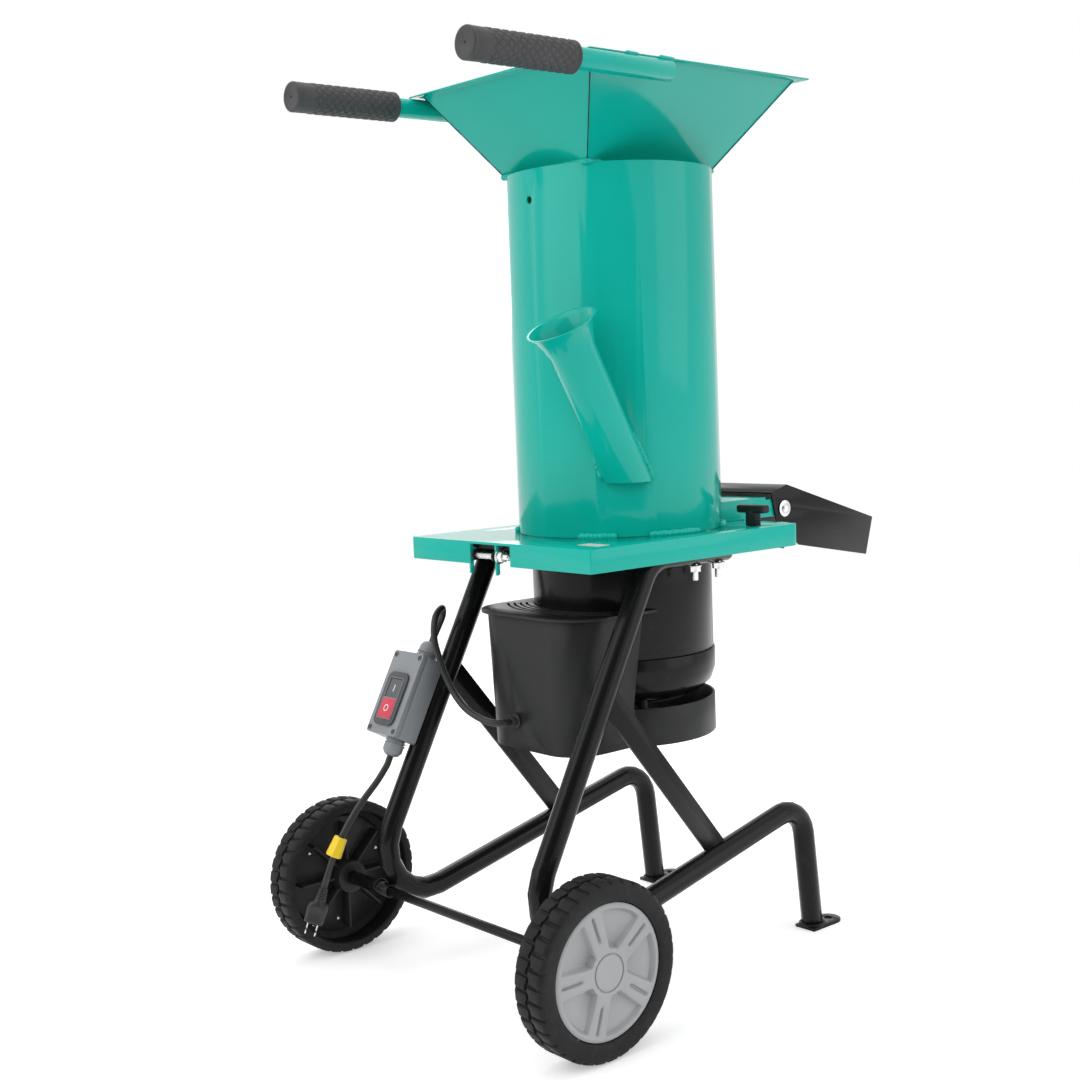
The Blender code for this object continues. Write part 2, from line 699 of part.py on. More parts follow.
def hinge_bolt():
    """The pin of the hood hinge: blind in the left ear, with washer, nut and spare thread at the right."""
    left, right = HINGE_EAR_X[0] + 0.0005 + GAP, HINGE_EAR_X[1] + GAP
    profile = [
        (0, left),
        (HINGE_PIN_RADIUS - 0.0008, left),
        (HINGE_PIN_RADIUS, left + 0.0008),
        (HINGE_PIN_RADIUS, right),
        (0.0085, right),
        (0.0085, right + 0.0016),
        (HINGE_PIN_RADIUS, right + 0.0016),
        (HINGE_PIN_RADIUS, right + HINGE_PIN_TAIL - 0.001),
        (HINGE_PIN_RADIUS - 0.001, right + HINGE_PIN_TAIL),
        (0, right + HINGE_PIN_TAIL),
    ]
    place = (0, HINGE_Y, HINGE_Z)
    obj = turned("hinge_bolt", profile, 16, place, (1, 0, 0))
    join(obj, cylinder("hinge_nut", 0.0068, (right + 0.0012, *place[1:]), (right + 0.0085, *place[1:]), 6))
    finish(obj, ZINC, MACHINE)


def axle_parts():
    half = WHEEL_OUTER_X - 0.0095
    centre = (0, AXLE_Y, WHEEL_RADIUS)
    axle = cylinder("axle", AXLE_RADIUS, (-half, *centre[1:]), (half, *centre[1:]), 16)
    finish(axle, BLACK_PAINT, MACHINE)
    bore = AXLE_RADIUS + GAP
    inner, outer = SIDE_X - 0.012, WHEEL_INNER_X - 0.0005
    for name, way in (("left_axle_sleeve", -1), ("right_axle_sleeve", 1)):
        profile = [(bore, inner), (SLEEVE_RADIUS, inner), (SLEEVE_RADIUS, outer), (bore, outer)]
        finish(turned(name, profile, 16, centre, (way, 0, 0)), BLACK_PAINT, MACHINE)


# ---------------------------------------------------------------- wheels
def wheel(side, way, carrier):
    """A tyre on a black wheel body with ribs inside, and a grey trim with twin spokes outside.

    Heights in the profiles are distances out from the machine's middle."""
    centre = (0, AXLE_Y, WHEEL_RADIUS)
    axis = (way, 0, 0)
    inner, outer = WHEEL_INNER_X, WHEEL_OUTER_X
    bead = TRIM_RADIUS + 0.0012
    dish = TRIM_RADIUS + WHEEL_DISH
    dish_floor = inner + WHEEL_DISH_DEPTH
    tyre = [
        (bead, dish_floor + 0.004),
        (dish, dish_floor),
        (dish, inner + 0.0015),
        (dish + 0.0015, inner),
        (WHEEL_RADIUS - 0.006, inner),
        (WHEEL_RADIUS, inner + 0.005),
        (WHEEL_RADIUS, outer - 0.005),
        (WHEEL_RADIUS - 0.006, outer),
        (bead + 0.010, outer),
        (bead, outer - 0.003),
    ]
    finish(turned(side + "_tyre", tyre, 48, centre, axis), TYRE, carrier)

    bore = AXLE_RADIUS + GAP
    rim = bead - GAP
    well = rim - 0.006
    web = (dish_floor + 0.001, dish_floor + 0.006)
    trim_back = outer - 0.0085
    body = [
        (rim, web[0]),
        (rim, trim_back - GAP),
        (well, trim_back - GAP),
        (well, web[1]),
        (HUB_RADIUS, web[1]),
        (HUB_RADIUS, trim_back - GAP),
        (bore, trim_back - GAP),
        (bore, inner),
        (HUB_RADIUS, inner),
        (HUB_RADIUS, web[0]),
    ]
    obj = turned(side + "_wheel_body", body, 40, centre, axis)
    join(obj, spokes(side + "_ribs", way, 8, 0.0, 0.003, (HUB_RADIUS - 0.002, well), inner + 0.010, web[0] + 0.001))
    finish(obj, BLACK_PLASTIC, carrier)

    floor = trim_back + 0.003
    ring = TRIM_RADIUS - 0.009
    face = outer - 0.002
    cap = HUB_RADIUS + 0.002
    trim = [
        (0, outer - 0.001),
        (HUB_RADIUS - 0.004, outer - 0.001),
        (cap, face),
        (cap, floor),
        (ring, floor),
        (ring, face),
        (TRIM_RADIUS, face),
        (TRIM_RADIUS, trim_back),
        (AXLE_RADIUS + 0.002, trim_back),
        (AXLE_RADIUS + 0.002, outer - 0.004),
        (0, outer - 0.004),
    ]
    obj = turned(side + "_wheel_trim", trim, 40, centre, axis)
    reach = (cap - 0.002, ring + 0.002)
    twins = spokes(side + "_spokes", way, SPOKE_PAIRS, 0.0105, 0.011, reach, trim_back + 0.001, face - 0.0012)
    combine(obj, twins, "UNION", crossing=True)
    finish(obj, GREY_TRIM, carrier)


def spokes(name, way, count, apart, width, reach, low, high):
    """Radial bars, single when apart is 0 and in pairs otherwise, as one helper to join onto a wheel."""
    mesh = bpy.data.meshes.new(name)
    work = bmesh.new()
    for i in range(count):
        for side in (0,) if not apart else (-1, 1):
            ends = bmesh.ops.create_cube(work, size=1)["verts"]
            bmesh.ops.scale(work, vec=(high - low, width, reach[1] - reach[0]), verts=ends)
            centre = Vector((way * (low + high) / 2, side * apart, sum(reach) / 2))
            bmesh.ops.translate(work, vec=centre, verts=ends)
            if side:
                spread = Matrix.Rotation(-side * math.radians(5), 3, "X")
                bmesh.ops.rotate(work, cent=(0, 0, 0), matrix=spread, verts=ends)
            turn = Matrix.Rotation(math.tau * i / count, 3, "X")
            bmesh.ops.rotate(work, cent=(0, 0, 0), matrix=turn, verts=ends)
    work.to_mesh(mesh)
    work.free()
    return add(name, mesh, (0, AXLE_Y, WHEEL_RADIUS))


# ---------------------------------------------------------------- motor and its plastic cover
def motor():
    outer, inner = MOTOR_RADIUS, MOTOR_RADIUS - MOTOR_WALL
    top, seam = MOTOR_TOP_Z, MOTOR_SEAM_Z
    boss = SHAFT_RADIUS + 0.018
    housing = [
        (SHAFT_BORE, top),
        (outer - 0.008, top),
        (outer, top - 0.008),
        (outer, seam + GAP),
        (inner, seam + GAP),
        (inner, top - 0.010),
        (inner - 0.006, top - 0.004),
        (boss, top - 0.004),
        (boss, top - 0.020),
        (SHAFT_BORE, top - 0.020),
    ]
    finish(turned("motor_housing", housing, 48), BLACK_PAINT, MACHINE)

    lip, wall, floor = outer + END_COVER_LIP, END_COVER_WALL, MOTOR_FLOOR_Z
    end_cover = [
        (lip - wall, seam),
        (lip, seam),
        (lip, floor + 0.028),
        (lip - 0.0055, floor + 0.012),
        (lip - 0.0195, floor),
        (SHAFT_BORE, floor),
        (SHAFT_BORE, floor + 0.016),
        (boss, floor + 0.016),
        (boss, floor + wall),
        (lip - 0.0205, floor + wall),
        (lip - 0.0085, floor + 0.0135),
        (lip - wall, floor + 0.0285),
    ]
    finish(turned("motor_end_cover", end_cover, 48), BLACK_PAINT, MACHINE)

    low, high = STATOR_Z
    edge = inner - GAP
    stator = [(edge, low), (edge, high), (STATOR_BORE, high), (STATOR_BORE, low)]
    finish(turned("stator", stator, 32), COPPER, MACHINE)


def box_block(name, inset, low, high, back):
    """The tall box's form between two heights, narrowing downwards, moved in by a wall when inset is set."""
    half = BOX_HALF_X - inset
    front = BOX_FRONT_Y + inset
    radius = BOX_CORNER - inset
    outline = rounded_rectangle((-half, front), (half, back), (radius, radius, 0, 0), 8)
    obj = prism(name, outline, low, high)
    middle = (low + high) / 2
    for vertex in obj.data.vertices:
        height = (vertex.co.z + middle - COVER_FLOOR_Z) / (BOX_TOP_Z - COVER_FLOOR_Z)
        scale = BOX_TAPER + (1 - BOX_TAPER) * height
        vertex.co.x *= scale
    return obj


def motor_cover():
    floor = COVER_FLOOR_Z + COVER_WALL
    obj = box_block("motor_cover", 0, COVER_FLOOR_Z, BOX_TOP_Z, BOX_BACK_Y)
    cut(obj, box_block("cover_room", COVER_WALL, floor, BOX_TOP_Z + 0.010, BOX_BACK_Y + 0.010))
    ring = SKIRT_RADIUS - COVER_WALL
    skirt = [
        (SKIRT_RADIUS, COVER_FLOOR_Z),
        (SKIRT_RADIUS, SKIRT_TOP_Z),
        (ring, SKIRT_TOP_Z),
        (ring, floor),
        (SKIRT_HOLE_RADIUS, floor),
        (SKIRT_HOLE_RADIUS, COVER_FLOOR_Z),
    ]
    join(obj, turned("skirt", skirt, 48))
    cut(obj, cylinder("skirt_room", ring + 0.0004, (0, 0, floor - 0.0004), (0, 0, SKIRT_TOP_Z + 0.001), 48))
    clear = MOTOR_RADIUS + END_COVER_LIP + GAP
    cut(obj, cylinder("motor_room", clear, (0, 0, SKIRT_TOP_Z), (0, 0, BOX_TOP_Z + 0.010), 48))
    for i in range(3):
        angle = math.pi / 2 + math.tau * i / 3
        x, y = POST_CIRCLE * math.cos(angle), POST_CIRCLE * math.sin(angle)
        join(obj, cylinder("post", POST_RADIUS, (x, y, floor - 0.001), (x, y, MOTOR_FLOOR_Z - GAP), 10))
    hole = (GROMMET_X, BOX_FRONT_Y - 0.010, GROMMET_Z)
    cut(obj, cylinder("grommet_hole", GROMMET_RADIUS + GAP, hole, (hole[0], hole[1] + 0.020, hole[2]), 16))
    finish(obj, BLACK_PLASTIC, MACHINE)


def cover_lid():
    """The louvred top of the tall box: its back edge and slots are arcs about the motor's axis."""
    half = BOX_HALF_X + LID_OVERHANG
    front = BOX_FRONT_Y - LID_OVERHANG
    hug = MOTOR_RADIUS + 2 * GAP
    reach = math.asin(half / hug)
    corner = BOX_CORNER + LID_OVERHANG
    outline = rounded_rectangle((-half, front), (half, 0), (corner, corner, 0, 0), 8)[:-2]
    outline += arc((0, 0), hug, -math.pi / 2 + reach, -math.pi / 2 - reach, 20)
    slots = []
    for radius in LOUVRE_RADII:
        low, high = -math.pi / 2 - LOUVRE_HALF_ANGLE, -math.pi / 2 + LOUVRE_HALF_ANGLE
        slots.append(
            arc((0, 0), radius, low, high, 14) + arc((0, 0), radius + LOUVRE_WIDTH, high, low, 14)
        )
    low = BOX_TOP_Z + GAP
    finish(prism("cover_lid", outline, low, low + LID_THICKNESS, holes=slots), BLACK_PLASTIC, MACHINE)


def grommet_and_capacitor():
    """A bush through the box's front wall, and the run capacitor that stands inside the box."""
    nose = 0.010
    flange = 0.0022
    profile = [
        (0, nose),
        (CABLE_RADIUS + 0.0012, nose),
        (GROMMET_RADIUS, flange),
        (GROMMET_RADIUS + 0.0028, flange),
        (GROMMET_RADIUS + 0.0028, GAP),
        (GROMMET_RADIUS, GAP),
        (GROMMET_RADIUS, -COVER_WALL - 0.004),
        (0, -COVER_WALL - 0.004),
    ]
    place = (GROMMET_X, BOX_FRONT_Y, GROMMET_Z)
    finish(turned("cable_grommet", profile, 16, place, (0, -1, 0)), CABLE, MACHINE)
    x, y = CAPACITOR_XY
    low = COVER_FLOOR_Z + COVER_WALL + GAP
    can = cylinder("capacitor", CAPACITOR_RADIUS, (x, y, low), (x, y, low + CAPACITOR_LENGTH), 20)
    finish(can, ALUMINIUM, MACHINE)


# ---------------------------------------------------------------- rotor
def rotor():
    shoulder = DISC_Z - GAP
    stud_top = DISC_Z + DISC_THICKNESS + 0.018
    shaft = [(0, stud_top), (STUD_RADIUS, stud_top), (STUD_RADIUS, shoulder), (SHAFT_RADIUS, shoulder)]
    shaft += [(SHAFT_RADIUS, FAN_Z[0] - 0.004), (0, FAN_Z[0] - 0.004)]
    finish(turned("motor_shaft", shaft, 24), STEEL, ROTOR)

    low, high = STATOR_Z
    core_radius = STATOR_BORE - AIR_GAP
    core = [(core_radius, low), (core_radius, high), (SHAFT_BORE, high), (SHAFT_BORE, low)]
    finish(turned("rotor_core", core, 32), STEEL, ROTOR)

    low, high = FAN_Z
    back = high - 0.003
    hub = SHAFT_RADIUS + 0.009
    fan = [(hub, low), (hub, back), (FAN_RADIUS, back), (FAN_RADIUS, high), (SHAFT_BORE, high), (SHAFT_BORE, low)]
    obj = turned("cooling_fan", fan, 24)
    mesh = bpy.data.meshes.new("fan_blades")
    work = bmesh.new()
    for i in range(FAN_BLADES):
        ends = bmesh.ops.create_cube(work, size=1)["verts"]
        bmesh.ops.scale(work, vec=(FAN_RADIUS - hub - 0.002, 0.0025, back - low + 0.001), verts=ends)
        bmesh.ops.translate(work, vec=((FAN_RADIUS + hub - 0.004) / 2, 0, 0), verts=ends)
        turn = Matrix.Rotation(math.tau * i / FAN_BLADES, 3, "Z")
        bmesh.ops.rotate(work, cent=(0, 0, 0), matrix=turn, verts=ends)
    work.to_mesh(mesh)
    work.free()
    join(obj, add("fan_blades", mesh, (0, 0, (low + back + 0.001) / 2)))
    finish(obj, BLACK_PLASTIC, ROTOR)

    top = DISC_Z + DISC_THICKNESS
    bore = STUD_RADIUS + GAP
    disc = [(DISC_RADIUS, DISC_Z), (DISC_RADIUS, top), (bore, top), (bore, DISC_Z)]
    obj = turned("cutter_disc", disc, 40)
    length, width, thickness = BLADE_LENGTH, BLADE_WIDTH, BLADE_THICKNESS
    for way in (-1, 1):
        low = (way * BLADE_OFFSET - length / 2, way * (width / 2 + 0.004) - 0.006, DISC_Z - 0.002)
        cut(obj, box("chip_slot", low, (low[0] + length, low[1] + 0.012, top + 0.002)))
    finish(obj, STEEL, ROTOR)
    for i, way in enumerate((-1, 1)):
        low = Vector((way * BLADE_OFFSET - length / 2, -width / 2 - way * 0.008, top + GAP))
        blade = box(f"blade_{i + 1}", low, low + Vector((length, width, thickness)), 0.0012, 1)
        finish(blade, STEEL, ROTOR)

    nut = cylinder("disc_nut", 0.0145, (0, 0, top + GAP), (0, 0, top + 0.013), 6)
    cut(nut, cylinder("nut_bore", bore, (0, 0, top - 0.01), (0, 0, top + 0.02), 24))
    finish(nut, ZINC, ROTOR)


# ---------------------------------------------------------------- hood
def hood_pan():
    """A pressed tray, open downwards, with the chamber's bore, the hinge ears and the knob's hole."""
    low, high = (-PAN_HALF_X, PAN_Y[0]), (PAN_HALF_X, PAN_Y[1])
    radii = (0.002, 0.002, PAN_CORNER, PAN_CORNER)
    rim_z = PAN_TOP_Z - PAN_DEPTH
    obj = prism("hood_pan", rounded_rectangle(low, high, radii), rim_z, PAN_TOP_Z)
    low = (low[0] + PAN_WALL, low[1] + PAN_WALL)
    high = (high[0] - PAN_WALL, high[1] - PAN_WALL)
    radii = (0, 0, PAN_CORNER - PAN_WALL, PAN_CORNER - PAN_WALL)
    cut(obj, prism("pan_room", rounded_rectangle(low, high, radii), rim_z - 0.001, PAN_UNDER_Z))
    bottom, top = rim_z - 0.010, PAN_TOP_Z + 0.010
    cut(obj, cylinder("pan_bore", PAN_BORE_RADIUS, (0, 0, bottom), (0, 0, top), 48))
    hole_radius = KNOB_SCREW_RADIUS + GAP
    cut(obj, cylinder("pan_knob_hole", hole_radius, (KNOB_X, KNOB_Y, bottom), (KNOB_X, KNOB_Y, top), 12))
    left, right = HINGE_EAR_X
    notch_low = (left + HINGE_EAR_THICKNESS, PAN_Y[0] - 0.005, bottom)
    notch_high = (right + HINGE_PIN_TAIL + HINGE_NOTCH_END, PAN_Y[0] + 0.008, PAN_UNDER_Z)
    cut(obj, box("hinge_notch", notch_low, notch_high))
    face, low_z = PAN_Y[0] + 0.0005, rim_z - HINGE_EAR_HANG
    ear = [
        (face, PAN_UNDER_Z + 0.001),
        (HINGE_Y, PAN_UNDER_Z + 0.001),
        *arc((HINGE_Y, HINGE_Z), HINGE_EAR_RADIUS, math.pi / 2, -math.pi / 2, 8),
        (HINGE_Y, low_z + 0.002),
        (HINGE_Y - 0.002, low_z),
        (face, low_z),
    ]
    for x, way in ((left, 1), (right, -1)):
        ends = sorted((x, x + way * HINGE_EAR_THICKNESS))
        join(obj, prism("hinge_ear", ear, *ends, "X"))
    cut(obj, hinge_hole("ear_hole"))
    finish(obj, GREEN, HOOD)


def square_ring(work, x, y, offset, z):
    corners = ((-x, -y), (x, -y), (x, y), (-x, y))
    return [work.verts.new((a, b + offset, z)) for a, b in corners]


def hopper():
    """A flared funnel with a flat flange round its mouth. Its foot's corners stand on the drum's rim."""
    mouth_z = HOPPER_TOP_Z - HOPPER_SHEET
    foot_z = DRUM_TOP_Z + GAP
    foot, mouth = (HOPPER_FOOT_X, HOPPER_FOOT_Y), (HOPPER_MOUTH_X, HOPPER_MOUTH_Y)
    slopes = [(wide - narrow) / (mouth_z - foot_z) for wide, narrow in zip(mouth, foot)]
    insets = [HOPPER_SHEET * math.hypot(1, slope) for slope in slopes]
    inner_foot = [size - inset for size, inset in zip(foot, insets)]
    inner_mouth = [size - inset + HOPPER_SHEET * slope for size, inset, slope in zip(mouth, insets, slopes)]
    edge = [size + HOPPER_FLANGE for size in mouth]
    offset = HOPPER_MOUTH_OFFSET
    mesh = bpy.data.meshes.new("hopper")
    work = bmesh.new()
    rings = [
        square_ring(work, *foot, 0, foot_z),
        square_ring(work, *mouth, offset, mouth_z),
        square_ring(work, *edge, offset, mouth_z),
        square_ring(work, *edge, offset, HOPPER_TOP_Z),
        square_ring(work, *inner_mouth, offset, HOPPER_TOP_Z),
        square_ring(work, *inner_foot, 0, foot_z),
    ]
    for this, following in zip(rings, rings[1:] + rings[:1]):
        for i in range(4):
            j = (i + 1) % 4
            work.faces.new((this[i], this[j], following[j], following[i]))
    work.to_mesh(mesh)
    work.free()
    finish(add("hopper", mesh), GREEN, HOOD)


def branch_bar(name, radius, length, segments=32):
    """A round bar along the branch tube's axis, from just outside its mouth."""
    mouth = Vector(BRANCH_MOUTH)
    return cylinder(name, radius, mouth + BRANCH_AXIS * 0.010, mouth - BRANCH_AXIS * length, segments)


def drum():
    """The upright drum: its top plate is open to the hopper, its side to the branch tube and the discharge."""
    top = DRUM_TOP_Z
    plate = top - DRUM_WALL
    inner = DRUM_RADIUS - DRUM_WALL
    profile = [
        (0, top),
        (DRUM_RADIUS, top),
        (DRUM_RADIUS, ON_PAN_Z),
        (inner, ON_PAN_Z),
        (inner, plate),
        (0, plate),
    ]
    obj = turned("drum", profile, 64)
    room = (HOPPER_FOOT_X - HOPPER_SHEET, HOPPER_FOOT_Y - HOPPER_SHEET)
    cut(obj, box("hopper_room", (-room[0], -room[1], plate - 0.01), (*room, top + 0.01)))
    bore = branch_bar("branch_bore", BRANCH_RADIUS - BRANCH_WALL - GAP, 0.300)
    floor = BRANCH_FOOT_Z + BRANCH_WALL + GAP
    cut(bore, box("bore_floor", (-0.1, -0.3, 0.4), (0.3, 0.2, floor)))
    cut(obj, bore)
    half = DISCHARGE_WINDOW_HALF_X
    window_top = DISCHARGE_TOP_Z - DISCHARGE_WALL
    cut(obj, box("window", (-half, 0.05, ON_PAN_Z - 0.01), (half, DRUM_RADIUS + 0.02, window_top)))
    out = Vector((math.cos(PEEP_HOLE_ANGLE), math.sin(PEEP_HOLE_ANGLE), 0))
    peep = Vector((0, 0, PEEP_HOLE_Z))
    start, end = peep + out * (inner - 0.01), peep + out * (DRUM_RADIUS + 0.01)
    cut(obj, cylinder("peep_hole", PEEP_HOLE_RADIUS, start, end, 16))
    finish(obj, GREEN, HOOD)


def branch_tube():
    """The flared side feed: cut to the drum's side and closed flat at its foot."""
    outer, inner = BRANCH_RADIUS, BRANCH_RADIUS - BRANCH_WALL
    flare, depth, wall = BRANCH_FLARE_RADIUS, BRANCH_FLARE_LENGTH, BRANCH_WALL
    length = (BRANCH_MOUTH[2] - BRANCH_FOOT_Z) / math.cos(BRANCH_LEAN) + 0.04
    profile = [
        (flare - wall, 0),
        (flare, 0),
        (flare - 0.004, -0.12 * depth),
        (outer + 0.005, -0.5 * depth),
        (outer, -depth),
        (outer, -length),
        (inner, -length),
        (inner, -depth),
        (inner + 0.004, -0.5 * depth),
        (flare - wall - 0.005, -0.14 * depth),
    ]
    obj = turned("branch_tube", profile, 32, BRANCH_MOUTH, BRANCH_AXIS)
    foot = branch_bar("branch_foot", outer - wall / 2, length - 0.001)
    slab = box("foot_slab", (0, -0.3, BRANCH_FOOT_Z - 0.001), (0.3, 0.2, BRANCH_FOOT_Z + wall))
    combine(foot, slab, "INTERSECT")
    join(obj, foot)
    cut(obj, box("below_foot", (-0.1, -0.3, 0.4), (0.3, 0.3, BRANCH_FOOT_Z)))
    side = DRUM_RADIUS + GAP
    cut(obj, cylinder("drum_side", side, (0, 0, 0.5), (0, 0, DRUM_TOP_Z), 128))
    finish(obj, GREEN, HOOD)


def handle(side, way):
    x = way * HANDLE_X
    radius, bore = HANDLE_RADIUS, HANDLE_RADIUS - HANDLE_WALL
    place, axis = (x, 0, HANDLE_Z), (0, -1, 0)
    front = -GRIP_END_Y - GRIP_CAP - GAP
    back = -HANDLE_BACK_Y
    tube = [(radius, back), (radius, front), (bore, front), (bore, back)]
    finish(turned(side + "_handle_tube", tube, 24, place, axis), GREEN, HOOD)
    start, end = -GRIP_START_Y, -GRIP_END_Y
    grip_bore = radius + GAP
    grip = [
        (0, end),
        (0.5 * GRIP_RADIUS, end - 0.0008),
        (0.85 * GRIP_RADIUS, end - 0.0035),
        (GRIP_RADIUS, end - 0.009),
        (GRIP_RADIUS, start + 0.004),
        (GRIP_RADIUS - 0.001, start),
        (grip_bore, start),
        (grip_bore, end - GRIP_CAP),
        (0, end - GRIP_CAP),
    ]
    finish(turned(side + "_grip", grip, 24, place, axis), GRIP, HOOD)


def discharge_housing():
    """A channel, open below and at its end, that carries chips out of the drum over the pan."""
    half, wall = DISCHARGE_HALF_X, DISCHARGE_WALL
    obj = box("discharge_housing", (-half, 0.05, ON_PAN_Z), (half, DISCHARGE_CHEEK_Y, DISCHARGE_TOP_Z))
    room = (half - wall, DISCHARGE_CHEEK_Y + 0.01, DISCHARGE_TOP_Z - wall)
    cut(obj, box("housing_room", (-room[0], 0.04, ON_PAN_Z - 0.01), room))
    cut(
        obj,
        box(
            "roof_end",
            (-half - 0.01, DISCHARGE_ROOF_Y, DISCHARGE_TOP_Z - wall - 0.0005),
            (half + 0.01, DISCHARGE_CHEEK_Y + 0.01, DISCHARGE_TOP_Z + 0.01),
        ),
    )
    side = DRUM_RADIUS + GAP
    cut(obj, cylinder("housing_drum_side", side, (0, 0, 0.5), (0, 0, DISCHARGE_TOP_Z + 0.1), 128))
    cut(obj, pivot_hole("housing_pivot_hole"))
    finish(obj, GREEN, HOOD)


def pivot_hole(name):
    radius = PIVOT_BOLT_RADIUS + GAP
    y, z = DEFLECTOR_PIVOT_Y, DEFLECTOR_PIVOT_Z
    return cylinder(name, radius, (-0.12, y, z), (0.12, y, z), 16)


def deflector():
    """A bent sheet over the discharge: a ridged roof and two cheeks outside the housing's walls."""
    def placed(points):
        return [(DEFLECTOR_PIVOT_Y + y, DEFLECTOR_PIVOT_Z + z) for y, z in points]

    inner = DISCHARGE_HALF_X + GAP
    outer = inner + DEFLECTOR_SHEET
    outline = (DEFLECTOR_BACK, DEFLECTOR_RIDGE, DEFLECTOR_TIP, DEFLECTOR_LOW_TIP, DEFLECTOR_LOW_FRONT)
    obj = prism("deflector", placed((*outline, DEFLECTOR_LOW_BACK)), -outer, outer, "X")
    back, ridge, tip = (Vector(p) for p in (DEFLECTOR_BACK, DEFLECTOR_RIDGE, DEFLECTOR_TIP))
    rear, front = (ridge - back).normalized(), (tip - ridge).normalized()
    bisector = (Vector((rear.y, -rear.x)) + Vector((front.y, -front.x))).normalized()
    under_ridge = ridge + bisector * DEFLECTOR_SHEET / bisector.dot(Vector((front.y, -front.x)))
    room = [
        tuple(under_ridge - rear * 0.1),
        tuple(under_ridge),
        tuple(under_ridge + front * 0.3),
        (0.4, -0.2),
        (-0.1, -0.2),
    ]
    cut(obj, prism("deflector_room", placed(room), -inner, inner, "X"))
    cut(obj, pivot_hole("deflector_pivot_hole"))
    finish(obj, BLACK_PAINT, DEFLECTOR)


def deflector_bolt(name, way):
    """A dome-headed bolt through the deflector's cheek and the housing's wall, with its nut inside."""
    outer = DISCHARGE_HALF_X + GAP + DEFLECTOR_SHEET + GAP
    inner = DISCHARGE_HALF_X - DISCHARGE_WALL - GAP
    shank, head = PIVOT_BOLT_RADIUS, PIVOT_HEAD_RADIUS
    profile = [
        (0, outer + 0.0058),
        (0.004, outer + 0.0052),
        (0.0066, outer + 0.0030),
        (0.0066, outer + 0.0016),
        (head, outer + 0.0016),
        (head, outer),
        (shank, outer),
        (shank, inner),
        (0.0070, inner),
        (0.0070, inner - 0.0060),
        (0, inner - 0.0060),
    ]
    place = (0, DEFLECTOR_PIVOT_Y, DEFLECTOR_PIVOT_Z)
    finish(turned(name, profile, 16, place, (way, 0, 0)), ZINC, HOOD)


def clamp_knob():
    """A winged knob whose screw reaches through the pan into the bottom plate."""
    top = ON_PAN_Z + KNOB_STEM_HEIGHT
    profile = [
        (0, top + 0.004),
        (KNOB_STEM_RADIUS, top + 0.004),
        (KNOB_STEM_RADIUS, ON_PAN_Z),
        (KNOB_SCREW_RADIUS, ON_PAN_Z),
        (KNOB_SCREW_RADIUS, ON_PAN_Z - KNOB_SCREW_REACH),
        (0, ON_PAN_Z - KNOB_SCREW_REACH),
    ]
    obj = turned("clamp_knob", profile, 20, (KNOB_X, KNOB_Y, 0))
    length, width, height = KNOB_WING
    low = (KNOB_X - length / 2, KNOB_Y - width / 2, top)
    high = (KNOB_X + length / 2, KNOB_Y + width / 2, top + height)
    join(obj, box("knob_wing", low, high, 0.0035, 3))
    finish(obj, BLACK_PLASTIC, KNOB)


# ---------------------------------------------------------------- switch, in its own axes
def centred(width, height, middle):
    (x, y) = middle
    return (x - width / 2, y - height / 2), (x + width / 2, y + height / 2)


